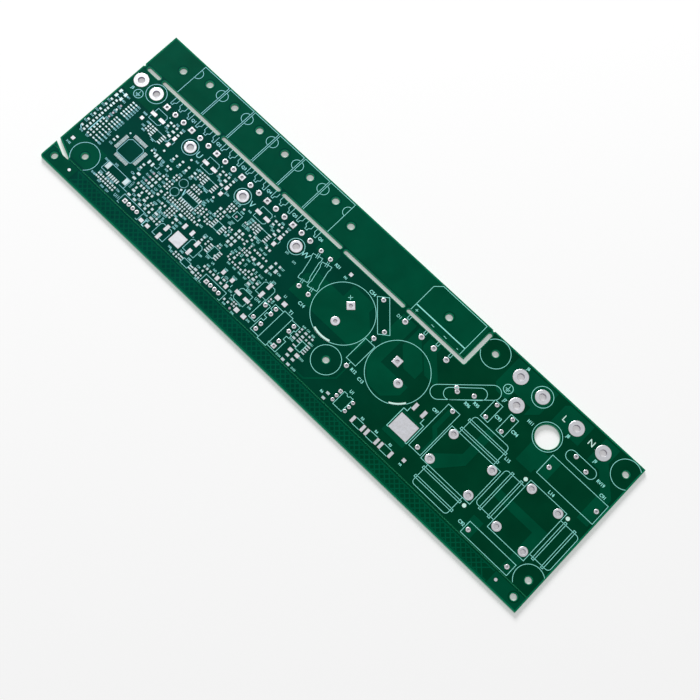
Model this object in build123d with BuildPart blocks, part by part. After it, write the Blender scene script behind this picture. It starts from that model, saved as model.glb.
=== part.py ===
from build123d import *
import os

os.makedirs("parts", exist_ok=True)

# A bare printed circuit board of a three-phase motor driver. It lies flat: +Z up, +X along the
# long side, origin at the middle of the underside. Lengths are in millimetres, and each x and y
# below counts from the lower left corner of the panel, where the break-off rail starts.

# ---- panel ---------------------------------------------------------------------------------
board_thickness = 1.6
land_height = 0.1  # heavy copper with its solder coat
rail_width = 8.2  # break-off rail below the score line
control_depth = 32.0  # score line to the power stages
stage_depth = 25.0  # power stages, up to the routed slots
strip_width = 20.3  # slots to the upper edge: the device strip
filter_length = 92.0
supply_length = 81.0
corner_radius = 1.5
score_depth = 0.5
score_width = 0.4

# ---- power devices -------------------------------------------------------------------------
device_count = 6
lead_pitch = 5.45  # TO-247 leads
first_device = 28.5
device_margin = 9.75  # last device to the end of the driver zone
lead_row_drop = 7.65  # slots to the lead row
device_screw_rise = 14.5  # slots to the device screws
device_screw_hole = 3.5
clamp_screw_rise = 10.6  # slots to the three clamp screws
clamp_screw_inset = 14.9
clamp_screw_margin = 3.7  # end of the driver zone to the second clamp screw
rectifier_margin = 3.7  # last rectifier lead to the end of the supply zone
rectifier_pitches = (10.0, 7.5, 7.5)
rectifier_row_drop = 4.9

# ---- routed slots --------------------------------------------------------------------------
slot_width = 2.0
slot_start = 2.3
first_web = 11.5
web_width = 1.7
web_pitch = 39.15
web_count = 5
return_slot = 2.4  # in the filter zone: where the last slot turns towards the upper edge
return_web = 1.8  # what is left between that slot's end and the upper edge
notch_radius = 0.6
rail_slot_width = 1.9
rail_slot_start = 11.4  # height of the slanted slot at the left edge
rail_slot_end = (9.5, 7.5)

# ---- fixing holes --------------------------------------------------------------------------
screw_hole = 3.2
screw_inset = 4.9  # right-hand screws, from the right edge
screw_rise = 5.9  # lower screws, above the score line
upper_screw_drop = 7.6  # upper screws, below the upper edge
lower_left_screw = 14.7
middle_screw = (39.6, 14.6)  # in the supply zone, from the score line
upper_middle_screw = 10.0  # in the filter zone
tooling_inset = 4.8
tooling_rise = 4.5
post_hole = 11.4
post_place = (40.5, 19.4)  # from the right and upper edges

# ---- soldered terminals --------------------------------------------------------------------
terminal_hole = 3.4
terminal_land = 7.2
shield_land = 6.8
motor_land = 5.8
first_phase = 44.9
phase_pitch = 34.1
phase_count = 3
motor_terminal_drop = 14.0  # slots to the motor terminals
rail_terminals = (4.75, 14.75)
rail_terminal_drop = 6.5

# ---- leads of the wound and foil parts -------------------------------------------------------
choke_hole = 2.4
choke_land = 4.4
bulk_hole = 1.8
bulk_land = 4.2
bulk_square = 3.8
bulk_pitch = 10.0
pin_hole = 1.1
pin_land = 2.2
device_hole = 1.4
device_land = 2.7
header_hole = 1.0
header_land = 2.0
header_pitch = 2.54
isolator_land = 1.7
coarse_sides = 10  # sides of the terminals and of the larger soldered lands
land_sides = 8  # sides of a pin's land and of a thick lead's hole
hole_sides = 6  # sides of a pin's hole and of the smallest lands
choke_span = (22.8, 15.3)
film_span = 15.0
bleed_span = 17.5
coil_span = 7.5
mains_capacitor_span = 27.5
filter_capacitor_span = 22.5
earth_capacitor_span = 7.5
damper_span = 22.5
varistor_span = 7.8
varistor_turn = -16
transformer_span = 11.2
transformer_rows = (-6.3, -3.15, 3.15, 6.3)
isolator_span = 7.5
header_pins = 4

# ---- flat pads -------------------------------------------------------------------------------
quad_pitch = 0.5
quad_pads_a_side = 16
quad_reach = 6.1  # middle of the controller to the middle of a pad row
quad_pad = (1.8, 0.3)
so_pitch = 1.27
so_pad = (2.0, 0.65)
# small outline packages: pads a side, then the package's middle to the middle of a row
gate_driver = (4, 2.8)
logic_array = (7, 2.6)
amplifier = (4, 2.5)
optocoupler = (2, 3.2)
# two-pad parts: the span between the middles of the pads, then a pad along and across it
electrolytic = (5.2, (3.2, 1.75))
diode = (4.0, (2.1, 1.75))
power_diode = (4.3, (2.3, 2.1))
shunt = (5.9, (1.45, 3.3))
ceramic = (2.9, (1.2, 1.7))
small_tab_leads = (4.65, (1.7, 2.7))
large_tab_leads = (5.08, (1.7, 3.6))
small_tab = (6.3, 6.2)
large_tab = (10.3, 8.8)
socket_anchor = (11.4, (2.2, 3.2))
socket_pitch = 1.25
socket_contacts = 6
socket_pad = (0.8, 1.8)
socket_row_drop = 2.9  # anchors to the contacts
crystal_grid = (2.1, 4.3)
crystal_pad = (1.1, 2.0)
fiducial = 1.7
rail_fiducial_insets = (14.7, 15.1)  # from the left and right edges
# from a motor terminal to the parts that repeat with each phase
gate_driver_offset = (-14.7, -6.8)
phase_capacitor_offset = (-21.05, -0.2)
phase_diode_offset = (-8.0, -4.25)

# ---- places that follow from the sizes above -----------------------------------------------
device_pitch = 3 * lead_pitch
driver_length = first_device + (device_count - 1) * device_pitch + device_margin
supply = driver_length
filter_start = supply + supply_length
board_length = filter_start + filter_length
score = rail_width
slots = score + control_depth + stage_depth
board_width = slots + strip_width
top = board_thickness

device_x = [first_device + i * device_pitch for i in range(device_count)]
lead_row = slots - lead_row_drop
first_leads = [(x - lead_pitch, lead_row) for x in device_x]
other_leads = [(x + j * lead_pitch, lead_row) for x in device_x for j in (0, 1)]
device_screws = [(x, slots + device_screw_rise) for x in device_x]
rectifier_x = filter_start - rectifier_margin - sum(rectifier_pitches)
rectifier_leads = [
    (rectifier_x + sum(rectifier_pitches[:i]), slots - rectifier_row_drop)
    for i in range(len(rectifier_pitches) + 1)
]
clamp_screws = [
    (x, slots + clamp_screw_rise)
    for x in (
        clamp_screw_inset,
        driver_length + clamp_screw_margin,
        rectifier_x + sum(rectifier_pitches) / 2,
    )
]

upper_screw_row = board_width - upper_screw_drop
panel_screws = [
    (lower_left_screw, score + screw_rise),
    (board_length - screw_inset, score + screw_rise),
    (board_length - screw_inset, upper_screw_row),
    (filter_start + upper_middle_screw, upper_screw_row),
    (supply + middle_screw[0], score + middle_screw[1]),
]
tooling_holes = [(x, tooling_rise) for x in (tooling_inset, board_length - tooling_inset)]
post = (board_length - post_place[0], board_width - post_place[1])
return_slot_x = filter_start + return_slot


def filter_upper(*places):
    """Places in the filter zone, counted from its left end and down from the upper edge."""
    return [(filter_start + x, board_width - y) for x, y in places]


def filter_lower(*places):
    """Places in the filter zone, counted from its left end and up from the score line."""
    return [(filter_start + x, score + y) for x, y in places]


def right_upper(*places):
    """Places in the filter zone, counted back from the right edge and down from the upper edge."""
    return [(board_length - x, board_width - y) for x, y in places]


def right_lower(*places):
    """Places in the filter zone, counted back from the right edge and up from the score line."""
    return [(board_length - x, score + y) for x, y in places]


def supply_upper(*places):
    """Places in the supply zone, counted from its left end and down from the slots."""
    return [(supply + x, slots - y) for x, y in places]


def supply_lower(*places):
    """Places in the supply zone, counted from its left end and up from the score line."""
    return [(supply + x, score + y) for x, y in places]


def supply_end_upper(*places):
    """Places in the supply zone, counted back from its right end and down from the slots."""
    return [(filter_start - x, slots - y) for x, y in places]


def supply_end_lower(*places):
    """Places in the supply zone, counted back from its right end and up from the score line."""
    return [(filter_start - x, score + y) for x, y in places]


def control(*places):
    """Places in the driver zone's control field, counted up from the score line."""
    return [(x, score + y) for x, y in places]


def ends(middle, span, turn):
    """The two ends of a part with its leads a span apart, turned about its middle."""
    x, y = middle
    reach = Vector(span / 2, 0).rotate(Axis.Z, turn)
    return [(x - reach.X, y - reach.Y), (x + reach.X, y + reach.Y)]


phase_x = [first_phase + i * phase_pitch for i in range(phase_count)]
motor_row = slots - motor_terminal_drop


def each_phase(offset):
    """The place this far from each motor terminal."""
    return [(x + offset[0], motor_row + offset[1]) for x in phase_x]


motor_terminals = [(x, motor_row) for x in phase_x]
earth_terminal = (rail_terminals[0], slots - rail_terminal_drop)
earth_shield = (rail_terminals[1], slots - rail_terminal_drop)
mains_terminals = filter_upper((25.1, 7.5), (32.4, 18.5)) + right_upper((33.8, 7.5), (18.2, 7.5))
mains_shield = filter_upper((38.1, 7.5))[0]

bulk_middles = supply_upper((30.0, 21.7)) + supply_end_upper((15.0, 24.2))
bulk_turns = (-90, -45)
bulk_square_turn = 45  # from the line of the two leads
bulk_leads = [ends(m, bulk_pitch, t) for m, t in zip(bulk_middles, bulk_turns)]
choke_middles = filter_lower((32.85, 22.2)) + right_lower((22.4, 24.6))
choke_turns = (0, 90)

snubber_leads = supply_upper((2.5, 7.5), (7.1, 26.4)) + supply_upper((8.3, 7.5), (12.9, 26.4))
film_leads = ends(supply_upper((43.8, 9.7))[0], film_span, -45)
bleed_leads = ends(supply_upper((47.8, 29.15))[0], bleed_span, 90)
coil_leads = ends(supply_lower((3.0, 9.85))[0], coil_span, 90)
transformer_middle = supply_lower((13.3, 9.2))[0]
isolator_middle = supply_end_lower((23.05, 6.35))[0]
mains_capacitor_leads = [
    *ends(right_upper((17.25, 28.95))[0], mains_capacitor_span, 0),
    *ends(right_lower((26.55, 3.65))[0], filter_capacitor_span, 0),
]
earth_capacitor_leads = [
    *ends(filter_upper((26.2, 28.15))[0], earth_capacitor_span, 90),
    *ends(filter_upper((35.5, 28.15))[0], earth_capacitor_span, 90),
]
varistor_leads = ends(right_upper((21.9, 18.1))[0], varistor_span, varistor_turn)
inrush_leads = filter_upper((16.3, 28.6), (9.6, 32.3), (8.2, 31.2))
damper_leads = ends(filter_lower((14.2, 25.75))[0], damper_span, 90)
headers = control((43.3, 3.75), (96.7, 2.8))

transformer_leads = [
    (transformer_middle[0] + side * transformer_span / 2, transformer_middle[1] + row)
    for side in (-1, 1)
    for row in transformer_rows
]
isolator_leads = [
    (isolator_middle[0] + side * isolator_span / 2, isolator_middle[1] + row * header_pitch)
    for side in (-1, 1)
    for row in (1, 0, -1)
]
header_leads = [
    (x + i * header_pitch, y)
    for x, y in headers
    for i in range(header_pins)
]
choke_leads = []
for (x, y), turn in zip(choke_middles, choke_turns):
    for side in (-1, 1):
        corners = ends((0, side * choke_span[1] / 2), choke_span[0], 0)
        choke_leads += [
            (x + point.X, y + point.Y)
            for point in (Vector(*corner).rotate(Axis.Z, turn) for corner in corners)
        ]

controller_middle = control((27.1, 22.7))[0]
gate_drivers = each_phase(gate_driver_offset)
logic_array_places = control((63.65, 24.65))
amplifiers = control((81.5, 24.65))
bus_drivers = control((88.8, 14.75))
optocouplers = control((83.8, 2.5))
converter = supply_lower((27.6, 11.35))[0]
small_tab_place = control((73.5, 7.7))
small_tab_lead_place = control((73.5, 14.4))
large_tab_place = filter_lower((3.8, 16.7))
large_tab_lead_place = filter_lower((3.65, 27.0))
level_electrolytics = each_phase(phase_capacitor_offset) + control((112.9, 9.2))
upright_electrolytics = control((66.0, 5.45), (81.0, 9.8), (118.2, 18.55))
level_diodes = control((57.15, 2.5)) + supply_lower((27.3, 6.9))
upright_diodes = each_phase(phase_diode_offset) + control((98.9, 9.35), (104.4, 9.35))
power_diodes = supply_lower((6.55, 19.9), (-2.3, 3.0))
shunts = supply_end_lower((11.45, 3.8), (3.15, 3.8), (-5.15, 3.8))
level_ceramics = control((105.6, 25.2), (110.5, 25.2))
upright_ceramics = [
    *control((110.6, 16.85)),
    *supply_lower((26.0, 2.8), (29.2, 2.8)),
    *supply_end_lower((30.2, 2.95)),
]
socket_anchor_place = control((31.2, 10.4))
socket_contact_places = [(x, y - socket_row_drop) for x, y in socket_anchor_place]
crystal_place = control((38.15, 26.85))
panel_fiducials = [
    *control((4.2, 8.3), (18.8, 37.5)),
    *supply_upper((19.9, 6.1)),
    *filter_lower((14.0, 6.1)),
]
rail_fiducials = [
    (rail_fiducial_insets[0], tooling_rise),
    (board_length - rail_fiducial_insets[1], tooling_rise),
]

corner = Plane((-board_length / 2, -board_width / 2, 0))
face = corner.offset(top)


def drill(places, width, sides=0):
    """Cuts a hole of this width at each place, round where no number of sides is given."""
    with Locations(*places):
        if sides:
            RegularPolygon(width / 2, sides, major_radius=False, mode=Mode.SUBTRACT)
        else:
            Circle(width / 2, mode=Mode.SUBTRACT)


def pin_lands(places, land, hole, sides=land_sides, inner=hole_sides):
    """Lands about holes, both with few sides."""
    with Locations(*places):
        RegularPolygon(land / 2, sides, major_radius=False)
    drill(places, hole, inner)


def terminal_lands(places, land):
    """Lands of the terminals that take a thick wire or a tab."""
    pin_lands(places, land, terminal_hole, coarse_sides, coarse_sides)


def square_lands(places, land, hole, inner=hole_sides, turn=0):
    """Square lands, which mark a part's first pin."""
    with Locations(*places):
        Rectangle(land, land, rotation=turn)
    drill(places, hole, inner)


def pads(places, size, mode=Mode.ADD):
    """Flat pads with no hole."""
    with Locations(*places):
        Rectangle(*size, mode=mode)


def chip_pads(places, part, turn=0):
    """The two pads of a part about each place."""
    span, pad = part
    for x, y in places:
        with Locations(Location((x, y), turn)):
            with GridLocations(span, 0, 2, 1):
                Rectangle(*pad)


def so_pads(places, package, turn=0):
    """Two rows of a small outline package's pads, either side of each place."""
    rows, reach = package
    for x, y in places:
        with Locations(Location((x, y), turn)):
            with GridLocations(2 * reach, so_pitch, 2, rows):
                Rectangle(*so_pad)


# ---- board: laminate panel with its solder mask -----------------------------------------------
web_x = [first_web + i * web_pitch for i in range(web_count)]
slot_starts = [slot_start] + [x + web_width / 2 for x in web_x]
slot_ends = [x - web_width / 2 for x in web_x] + [return_slot_x + slot_width / 2]
return_top = board_width - return_web

with BuildPart() as board:
    with BuildSketch(corner):
        outline = Rectangle(board_length, board_width, align=(Align.MIN, Align.MIN))
        fillet(outline.vertices().sort_by_distance((0, 0, 0))[0], corner_radius)
        with Locations((0, slots), (return_slot_x, board_width)):
            Circle(notch_radius, mode=Mode.SUBTRACT)
        for left, right in zip(slot_starts, slot_ends):
            with Locations(((left + right) / 2, slots)):
                SlotOverall(right - left, slot_width, mode=Mode.SUBTRACT)
        with Locations((return_slot_x, (slots - slot_width / 2 + return_top) / 2)):
            SlotOverall(
                return_top - slots + slot_width / 2, slot_width, rotation=90, mode=Mode.SUBTRACT
            )
        SlotCenterPoint((0, rail_slot_start), rail_slot_end, rail_slot_width, mode=Mode.SUBTRACT)
        drill(device_screws + clamp_screws, device_screw_hole)
        drill(panel_screws + tooling_holes, screw_hole)
        drill([post], post_hole)
        drill(motor_terminals + mains_terminals, terminal_hole, coarse_sides)
        drill([earth_terminal, earth_shield, mains_shield], terminal_hole, coarse_sides)
        drill(choke_leads, choke_hole, land_sides)
        drill(sum(bulk_leads, []), bulk_hole, land_sides)
        drill(first_leads + other_leads + rectifier_leads, device_hole, hole_sides)
        drill(snubber_leads + film_leads + bleed_leads + coil_leads, pin_hole, hole_sides)
        drill(mains_capacitor_leads + varistor_leads + inrush_leads, pin_hole, hole_sides)
        drill(damper_leads + earth_capacitor_leads, pin_hole, hole_sides)
        drill(transformer_leads + isolator_leads + header_leads, header_hole, hole_sides)
    extrude(amount=board_thickness)
    score_section = Plane(
        origin=(-board_length / 2, score - board_width / 2, 0), x_dir=(0, 1, 0), z_dir=(1, 0, 0)
    )
    with BuildSketch(score_section):
        half = score_width / 2
        Polygon((-half, top), (half, top), (0, top - score_depth), align=None)
        Polygon((-half, 0), (0, score_depth), (half, 0), align=None)
    extrude(amount=board_length, mode=Mode.SUBTRACT)
board.part.label = "board"
export_step(board.part, "parts/board.step")

# ---- soldered lands of the leaded parts --------------------------------------------------------
with BuildPart() as transistor_lands:
    with BuildSketch(face):
        pin_lands(other_leads, device_land, device_hole)
        square_lands(first_leads, device_land, device_hole)
    extrude(amount=land_height)
transistor_lands.part.label = "transistor_lands"
export_step(transistor_lands.part, "parts/transistor_lands.step")

with BuildPart() as rectifier_lands:
    with BuildSketch(face):
        pin_lands(rectifier_leads, device_land, device_hole)
    extrude(amount=land_height)
rectifier_lands.part.label = "rectifier_lands"
export_step(rectifier_lands.part, "parts/rectifier_lands.step")

with BuildPart() as motor_terminal_lands:
    with BuildSketch(face):
        terminal_lands(motor_terminals, motor_land)
    extrude(amount=land_height)
motor_terminal_lands.part.label = "motor_terminal_lands"
export_step(motor_terminal_lands.part, "parts/motor_terminal_lands.step")

with BuildPart() as mains_terminal_lands:
    with BuildSketch(face):
        terminal_lands(mains_terminals, terminal_land)
    extrude(amount=land_height)
mains_terminal_lands.part.label = "mains_terminal_lands"
export_step(mains_terminal_lands.part, "parts/mains_terminal_lands.step")

with BuildPart() as earth_lands:
    with BuildSketch(face):
        terminal_lands([earth_terminal], terminal_land)
        terminal_lands([earth_shield, mains_shield], shield_land)
    extrude(amount=land_height)
earth_lands.part.label = "earth_lands"
export_step(earth_lands.part, "parts/earth_lands.step")

with BuildPart() as choke_lands:
    with BuildSketch(face):
        pin_lands(choke_leads, choke_land, choke_hole, coarse_sides, land_sides)
    extrude(amount=land_height)
choke_lands.part.label = "choke_lands"
export_step(choke_lands.part, "parts/choke_lands.step")

with BuildPart() as bulk_capacitor_lands:
    with BuildSketch(face):
        for (first, second), turn in zip(bulk_leads, bulk_turns):
            square_lands([first], bulk_square, bulk_hole, land_sides, turn + bulk_square_turn)
            pin_lands([second], bulk_land, bulk_hole, coarse_sides, land_sides)
    extrude(amount=land_height)
bulk_capacitor_lands.part.label = "bulk_capacitor_lands"
export_step(bulk_capacitor_lands.part, "parts/bulk_capacitor_lands.step")

with BuildPart() as resistor_lands:
    with BuildSketch(face):
        pin_lands(snubber_leads + bleed_leads + damper_leads, pin_land, pin_hole)
        pin_lands(coil_leads, header_land, pin_hole)
    extrude(amount=land_height)
resistor_lands.part.label = "resistor_lands"
export_step(resistor_lands.part, "parts/resistor_lands.step")

with BuildPart() as film_capacitor_lands:
    with BuildSketch(face):
        pin_lands(film_leads + mains_capacitor_leads, pin_land, pin_hole)
        pin_lands(earth_capacitor_leads, header_land, pin_hole)
    extrude(amount=land_height)
film_capacitor_lands.part.label = "film_capacitor_lands"
export_step(film_capacitor_lands.part, "parts/film_capacitor_lands.step")

with BuildPart() as surge_lands:
    with BuildSketch(face):
        pin_lands(varistor_leads + inrush_leads, pin_land, pin_hole)
    extrude(amount=land_height)
surge_lands.part.label = "surge_lands"
export_step(surge_lands.part, "parts/surge_lands.step")

with BuildPart() as transformer_lands:
    with BuildSketch(face):
        first = transformer_leads[len(transformer_rows)]
        square_lands([first], header_land, header_hole)
        others = [lead for lead in transformer_leads if lead != first]
        pin_lands(others, header_land, header_hole)
    extrude(amount=land_height)
transformer_lands.part.label = "transformer_lands"
export_step(transformer_lands.part, "parts/transformer_lands.step")

with BuildPart() as isolator_lands:
    with BuildSketch(face):
        square_lands(isolator_leads[:1], isolator_land, header_hole)
        pin_lands(isolator_leads[1:], isolator_land, header_hole, hole_sides)
    extrude(amount=land_height)
isolator_lands.part.label = "isolator_lands"
export_step(isolator_lands.part, "parts/isolator_lands.step")

with BuildPart() as header_lands:
    with BuildSketch(face):
        square_lands(header_leads[::header_pins], header_land, header_hole)
        others = [lead for i, lead in enumerate(header_leads) if i % header_pins]
        pin_lands(others, header_land, header_hole, hole_sides)
    extrude(amount=land_height)
header_lands.part.label = "header_lands"
export_step(header_lands.part, "parts/header_lands.step")

# ---- flat pads of the surface-mounted parts ---------------------------------------------------
with BuildPart() as controller_pads:
    with BuildSketch(face):
        for turn in range(0, 360, 90):
            with Locations(Location(controller_middle, turn)):
                with Locations((quad_reach, 0)):
                    with GridLocations(0, quad_pitch, 1, quad_pads_a_side):
                        Rectangle(*quad_pad)
    extrude(amount=land_height)
controller_pads.part.label = "controller_pads"
export_step(controller_pads.part, "parts/controller_pads.step")

with BuildPart() as gate_driver_pads:
    with BuildSketch(face):
        so_pads(gate_drivers, gate_driver)
    extrude(amount=land_height)
gate_driver_pads.part.label = "gate_driver_pads"
export_step(gate_driver_pads.part, "parts/gate_driver_pads.step")

with BuildPart() as logic_pads:
    with BuildSketch(face):
        so_pads(logic_array_places, logic_array, 90)
        so_pads(amplifiers, amplifier)
        so_pads(bus_drivers, gate_driver)
        so_pads(optocouplers, optocoupler)
    extrude(amount=land_height)
logic_pads.part.label = "logic_pads"
export_step(logic_pads.part, "parts/logic_pads.step")

with BuildPart() as converter_pads:
    with BuildSketch(face):
        so_pads([converter], amplifier)
        # the pad beside the one that stands at line voltage is left out
        missing = (converter[0] - amplifier[1], converter[1] - so_pitch / 2)
        pads([missing], so_pad, Mode.SUBTRACT)
    extrude(amount=land_height)
converter_pads.part.label = "converter_pads"
export_step(converter_pads.part, "parts/converter_pads.step")

with BuildPart() as tab_transistor_pads:
    with BuildSketch(face):
        pads(small_tab_place, small_tab)
        chip_pads(small_tab_lead_place, small_tab_leads)
        pads(large_tab_place, large_tab)
        chip_pads(large_tab_lead_place, large_tab_leads)
    extrude(amount=land_height)
tab_transistor_pads.part.label = "tab_transistor_pads"
export_step(tab_transistor_pads.part, "parts/tab_transistor_pads.step")

with BuildPart() as electrolytic_pads:
    with BuildSketch(face):
        chip_pads(level_electrolytics, electrolytic)
        chip_pads(upright_electrolytics, electrolytic, 90)
    extrude(amount=land_height)
electrolytic_pads.part.label = "electrolytic_pads"
export_step(electrolytic_pads.part, "parts/electrolytic_pads.step")

with BuildPart() as diode_pads:
    with BuildSketch(face):
        chip_pads(level_diodes, diode)
        chip_pads(upright_diodes, diode, 90)
        chip_pads(power_diodes, power_diode)
    extrude(amount=land_height)
diode_pads.part.label = "diode_pads"
export_step(diode_pads.part, "parts/diode_pads.step")

with BuildPart() as shunt_pads:
    with BuildSketch(face):
        chip_pads(shunts, shunt)
    extrude(amount=land_height)
shunt_pads.part.label = "shunt_pads"
export_step(shunt_pads.part, "parts/shunt_pads.step")

with BuildPart() as connector_pads:
    with BuildSketch(face):
        chip_pads(socket_anchor_place, socket_anchor)
        with Locations(*socket_contact_places):
            with GridLocations(socket_pitch, 0, socket_contacts, 1):
                Rectangle(*socket_pad)
    extrude(amount=land_height)
connector_pads.part.label = "connector_pads"
export_step(connector_pads.part, "parts/connector_pads.step")

with BuildPart() as crystal_pads:
    with BuildSketch(face):
        with Locations(*crystal_place):
            with GridLocations(*crystal_grid, 2, 2):
                Rectangle(*crystal_pad)
    extrude(amount=land_height)
crystal_pads.part.label = "crystal_pads"
export_step(crystal_pads.part, "parts/crystal_pads.step")

with BuildPart() as ceramic_capacitor_pads:
    with BuildSketch(face):
        chip_pads(level_ceramics, ceramic)
        chip_pads(upright_ceramics, ceramic, 90)
    extrude(amount=land_height)
ceramic_capacitor_pads.part.label = "ceramic_capacitor_pads"
export_step(ceramic_capacitor_pads.part, "parts/ceramic_capacitor_pads.step")

with BuildPart() as fiducials:
    with BuildSketch(face):
        pads(panel_fiducials, (fiducial, fiducial))
        with Locations(*rail_fiducials):
            RegularPolygon(fiducial / 2, coarse_sides, major_radius=False)
    extrude(amount=land_height)
fiducials.part.label = "fiducials"
export_step(fiducials.part, "parts/fiducials.step")
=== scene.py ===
"""The looks of a bare circuit board for a three-phase motor driver."""

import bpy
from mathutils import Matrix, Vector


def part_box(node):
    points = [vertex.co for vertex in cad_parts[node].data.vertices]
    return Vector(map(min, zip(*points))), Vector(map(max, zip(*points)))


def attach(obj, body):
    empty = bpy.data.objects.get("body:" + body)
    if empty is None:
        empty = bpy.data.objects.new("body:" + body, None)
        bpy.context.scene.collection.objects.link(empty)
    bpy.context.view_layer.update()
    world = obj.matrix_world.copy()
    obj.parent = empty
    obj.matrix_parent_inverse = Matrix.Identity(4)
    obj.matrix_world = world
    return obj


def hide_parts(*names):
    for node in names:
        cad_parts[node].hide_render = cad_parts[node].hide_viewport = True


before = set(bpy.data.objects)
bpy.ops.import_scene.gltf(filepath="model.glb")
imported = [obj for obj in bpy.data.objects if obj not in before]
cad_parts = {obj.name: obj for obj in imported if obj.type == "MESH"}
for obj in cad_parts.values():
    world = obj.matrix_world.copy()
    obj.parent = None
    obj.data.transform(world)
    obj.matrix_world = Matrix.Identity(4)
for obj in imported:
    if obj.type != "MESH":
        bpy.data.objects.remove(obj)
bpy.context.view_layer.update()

import logging
import math
import random
from dataclasses import dataclass, field
from enum import Enum
from typing import Iterable, Sequence

import bmesh
import bpy
from mathutils import Matrix, Vector

log = logging.getLogger("circuit_board")

MM = 0.001
BODY = "root"
PANEL_LOW, PANEL_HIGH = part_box("board")
THICKNESS = (PANEL_HIGH.z - PANEL_LOW.z) / MM
LENGTH = (PANEL_HIGH.x - PANEL_LOW.x) / MM
WIDTH = (PANEL_HIGH.y - PANEL_LOW.y) / MM

Point = tuple[float, float]
Outline = list[Point]


class Level(Enum):
    """Heights in millimetres from the top of the masked copper; FOOT is where added forms start."""

    LAMINATE = -0.035
    FOOT = LAMINATE - 0.01
    MARGIN = -0.03
    COPPER = 0.0
    INK = 0.02
    TIN = 0.085
    BACK_LAMINATE = -THICKNESS + 0.06
    BACK = -THICKNESS


# ---- finishes -----------------------------------------------------------------------------------


@dataclass(frozen=True)
class Shade:
    """A colour as red, green and blue from 0 to 255."""

    red: float
    green: float
    blue: float

    def linear(self) -> tuple[float, float, float, float]:
        """The colour as a shader reads it."""
        parts = [part / 255 for part in (self.red, self.green, self.blue)]
        light = [p / 12.92 if p <= 0.04045 else ((p + 0.055) / 1.055) ** 2.4 for p in parts]
        return (light[0], light[1], light[2], 1.0)


class NodeBook:
    """A material's node tree, with one call for each node."""

    def __init__(self, name: str) -> None:
        """Starts an empty tree with a principled shader.

        Args:
            name: The material's name.
        """
        self.material = bpy.data.materials.new(name)
        self.material.use_nodes = True
        self.tree = self.material.node_tree
        self.shader = self.tree.nodes["Principled BSDF"]

    def add(self, kind: str, settings: dict | None = None, **inputs: object) -> bpy.types.Node:
        """Adds a node and sets or links its inputs.

        Args:
            kind: The node's type, such as ShaderNodeTexNoise.
            settings: Attributes of the node itself.
            inputs: Values or sockets by input name, with _ for a space, or i and a number.

        Returns:
            The new node.
        """
        node = self.tree.nodes.new(kind)
        for key, value in (settings or {}).items():
            setattr(node, key, value)
        for key, value in inputs.items():
            by_number = key[0] == "i" and key[1:].isdigit()
            socket = node.inputs[int(key[1:]) if by_number else key.replace("_", " ")]
            self.feed(socket, value)
        return node

    def feed(self, socket: bpy.types.NodeSocket, value: object) -> None:
        """Gives a socket a link or a plain value."""
        if isinstance(value, bpy.types.NodeSocket):
            self.tree.links.new(value, socket)
        else:
            socket.default_value = value

    def dress(self, **inputs: object) -> None:
        """Sets or links inputs of the principled shader, named with _ for a space."""
        for key, value in inputs.items():
            self.feed(self.shader.inputs[key.replace("_", " ")], value)

    def place(self) -> bpy.types.NodeSocket:
        """The Object coordinates."""
        return self.add("ShaderNodeTexCoord").outputs["Object"]

    def noise(self, scale: float, detail: float = 3.0) -> bpy.types.NodeSocket:
        """A soft random pattern on Object coordinates."""
        node = self.add("ShaderNodeTexNoise", Vector=self.place(), Scale=scale, Detail=detail)
        return node.outputs["Fac"]

    def ramp(self, factor: object, low: float, high: float, start: float = 0.0,
             end: float = 1.0) -> bpy.types.NodeSocket:
        """A value moved from one range to another.

        Args:
            factor: The value or socket to move.
            low: The lower end it comes from.
            high: The upper end it comes from.
            start: What the lower end becomes.
            end: What the upper end becomes.

        Returns:
            The moved value's socket.
        """
        node = self.add("ShaderNodeMapRange", Value=factor, From_Min=low, From_Max=high,
                        To_Min=start, To_Max=end)
        return node.outputs["Result"]

    def blend(self, factor: object, first: object, second: object) -> bpy.types.NodeSocket:
        """A mix of two colours."""
        node = self.add("ShaderNodeMix", {"data_type": "RGBA"}, i0=factor, i6=first, i7=second)
        return node.outputs[2]

    def relief(self, height: object, strength: float, distance: float) -> None:
        """Gives the shader a bump."""
        node = self.add("ShaderNodeBump", Height=height, Strength=strength, Distance=distance)
        self.dress(Normal=node.outputs["Normal"])


@dataclass(frozen=True)
class MaskFinish:
    """Solder mask: a clear green coat, bluer at the control end than at the mains end."""

    name: str
    control_end: Shade
    mains_end: Shade
    roughness: float = 0.42
    sheen_level: float = 0.08
    sheen_tint: Shade = Shade(40, 220, 160)
    turn_start: float = -0.06
    turn_end: float = 0.06
    mottle_scale: float = 90.0
    mottle: float = 0.12
    ripple_scale: float = 420.0
    ripple: float = 0.05

    def material(self) -> bpy.types.Material:
        """Builds the material."""
        book = NodeBook(self.name)
        along = book.add("ShaderNodeSeparateXYZ", Vector=book.place()).outputs["X"]
        turn = book.ramp(along, self.turn_start, self.turn_end)
        colour = book.blend(turn, self.control_end.linear(), self.mains_end.linear())
        cloud = book.ramp(book.noise(self.mottle_scale), 0.3, 0.7, 1 - self.mottle,
                          1 + self.mottle)
        tone = book.add("ShaderNodeHueSaturation", Color=colour, Value=cloud)
        gloss = book.ramp(book.noise(self.mottle_scale * 3), 0.3, 0.7,
                          self.roughness - 0.05, self.roughness + 0.05)
        book.dress(Base_Color=tone.outputs["Color"], Roughness=gloss,
                   Specular_IOR_Level=self.sheen_level, Specular_Tint=self.sheen_tint.linear())
        book.relief(book.noise(self.ripple_scale), self.ripple, MM * 0.2)
        return book.material


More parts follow.
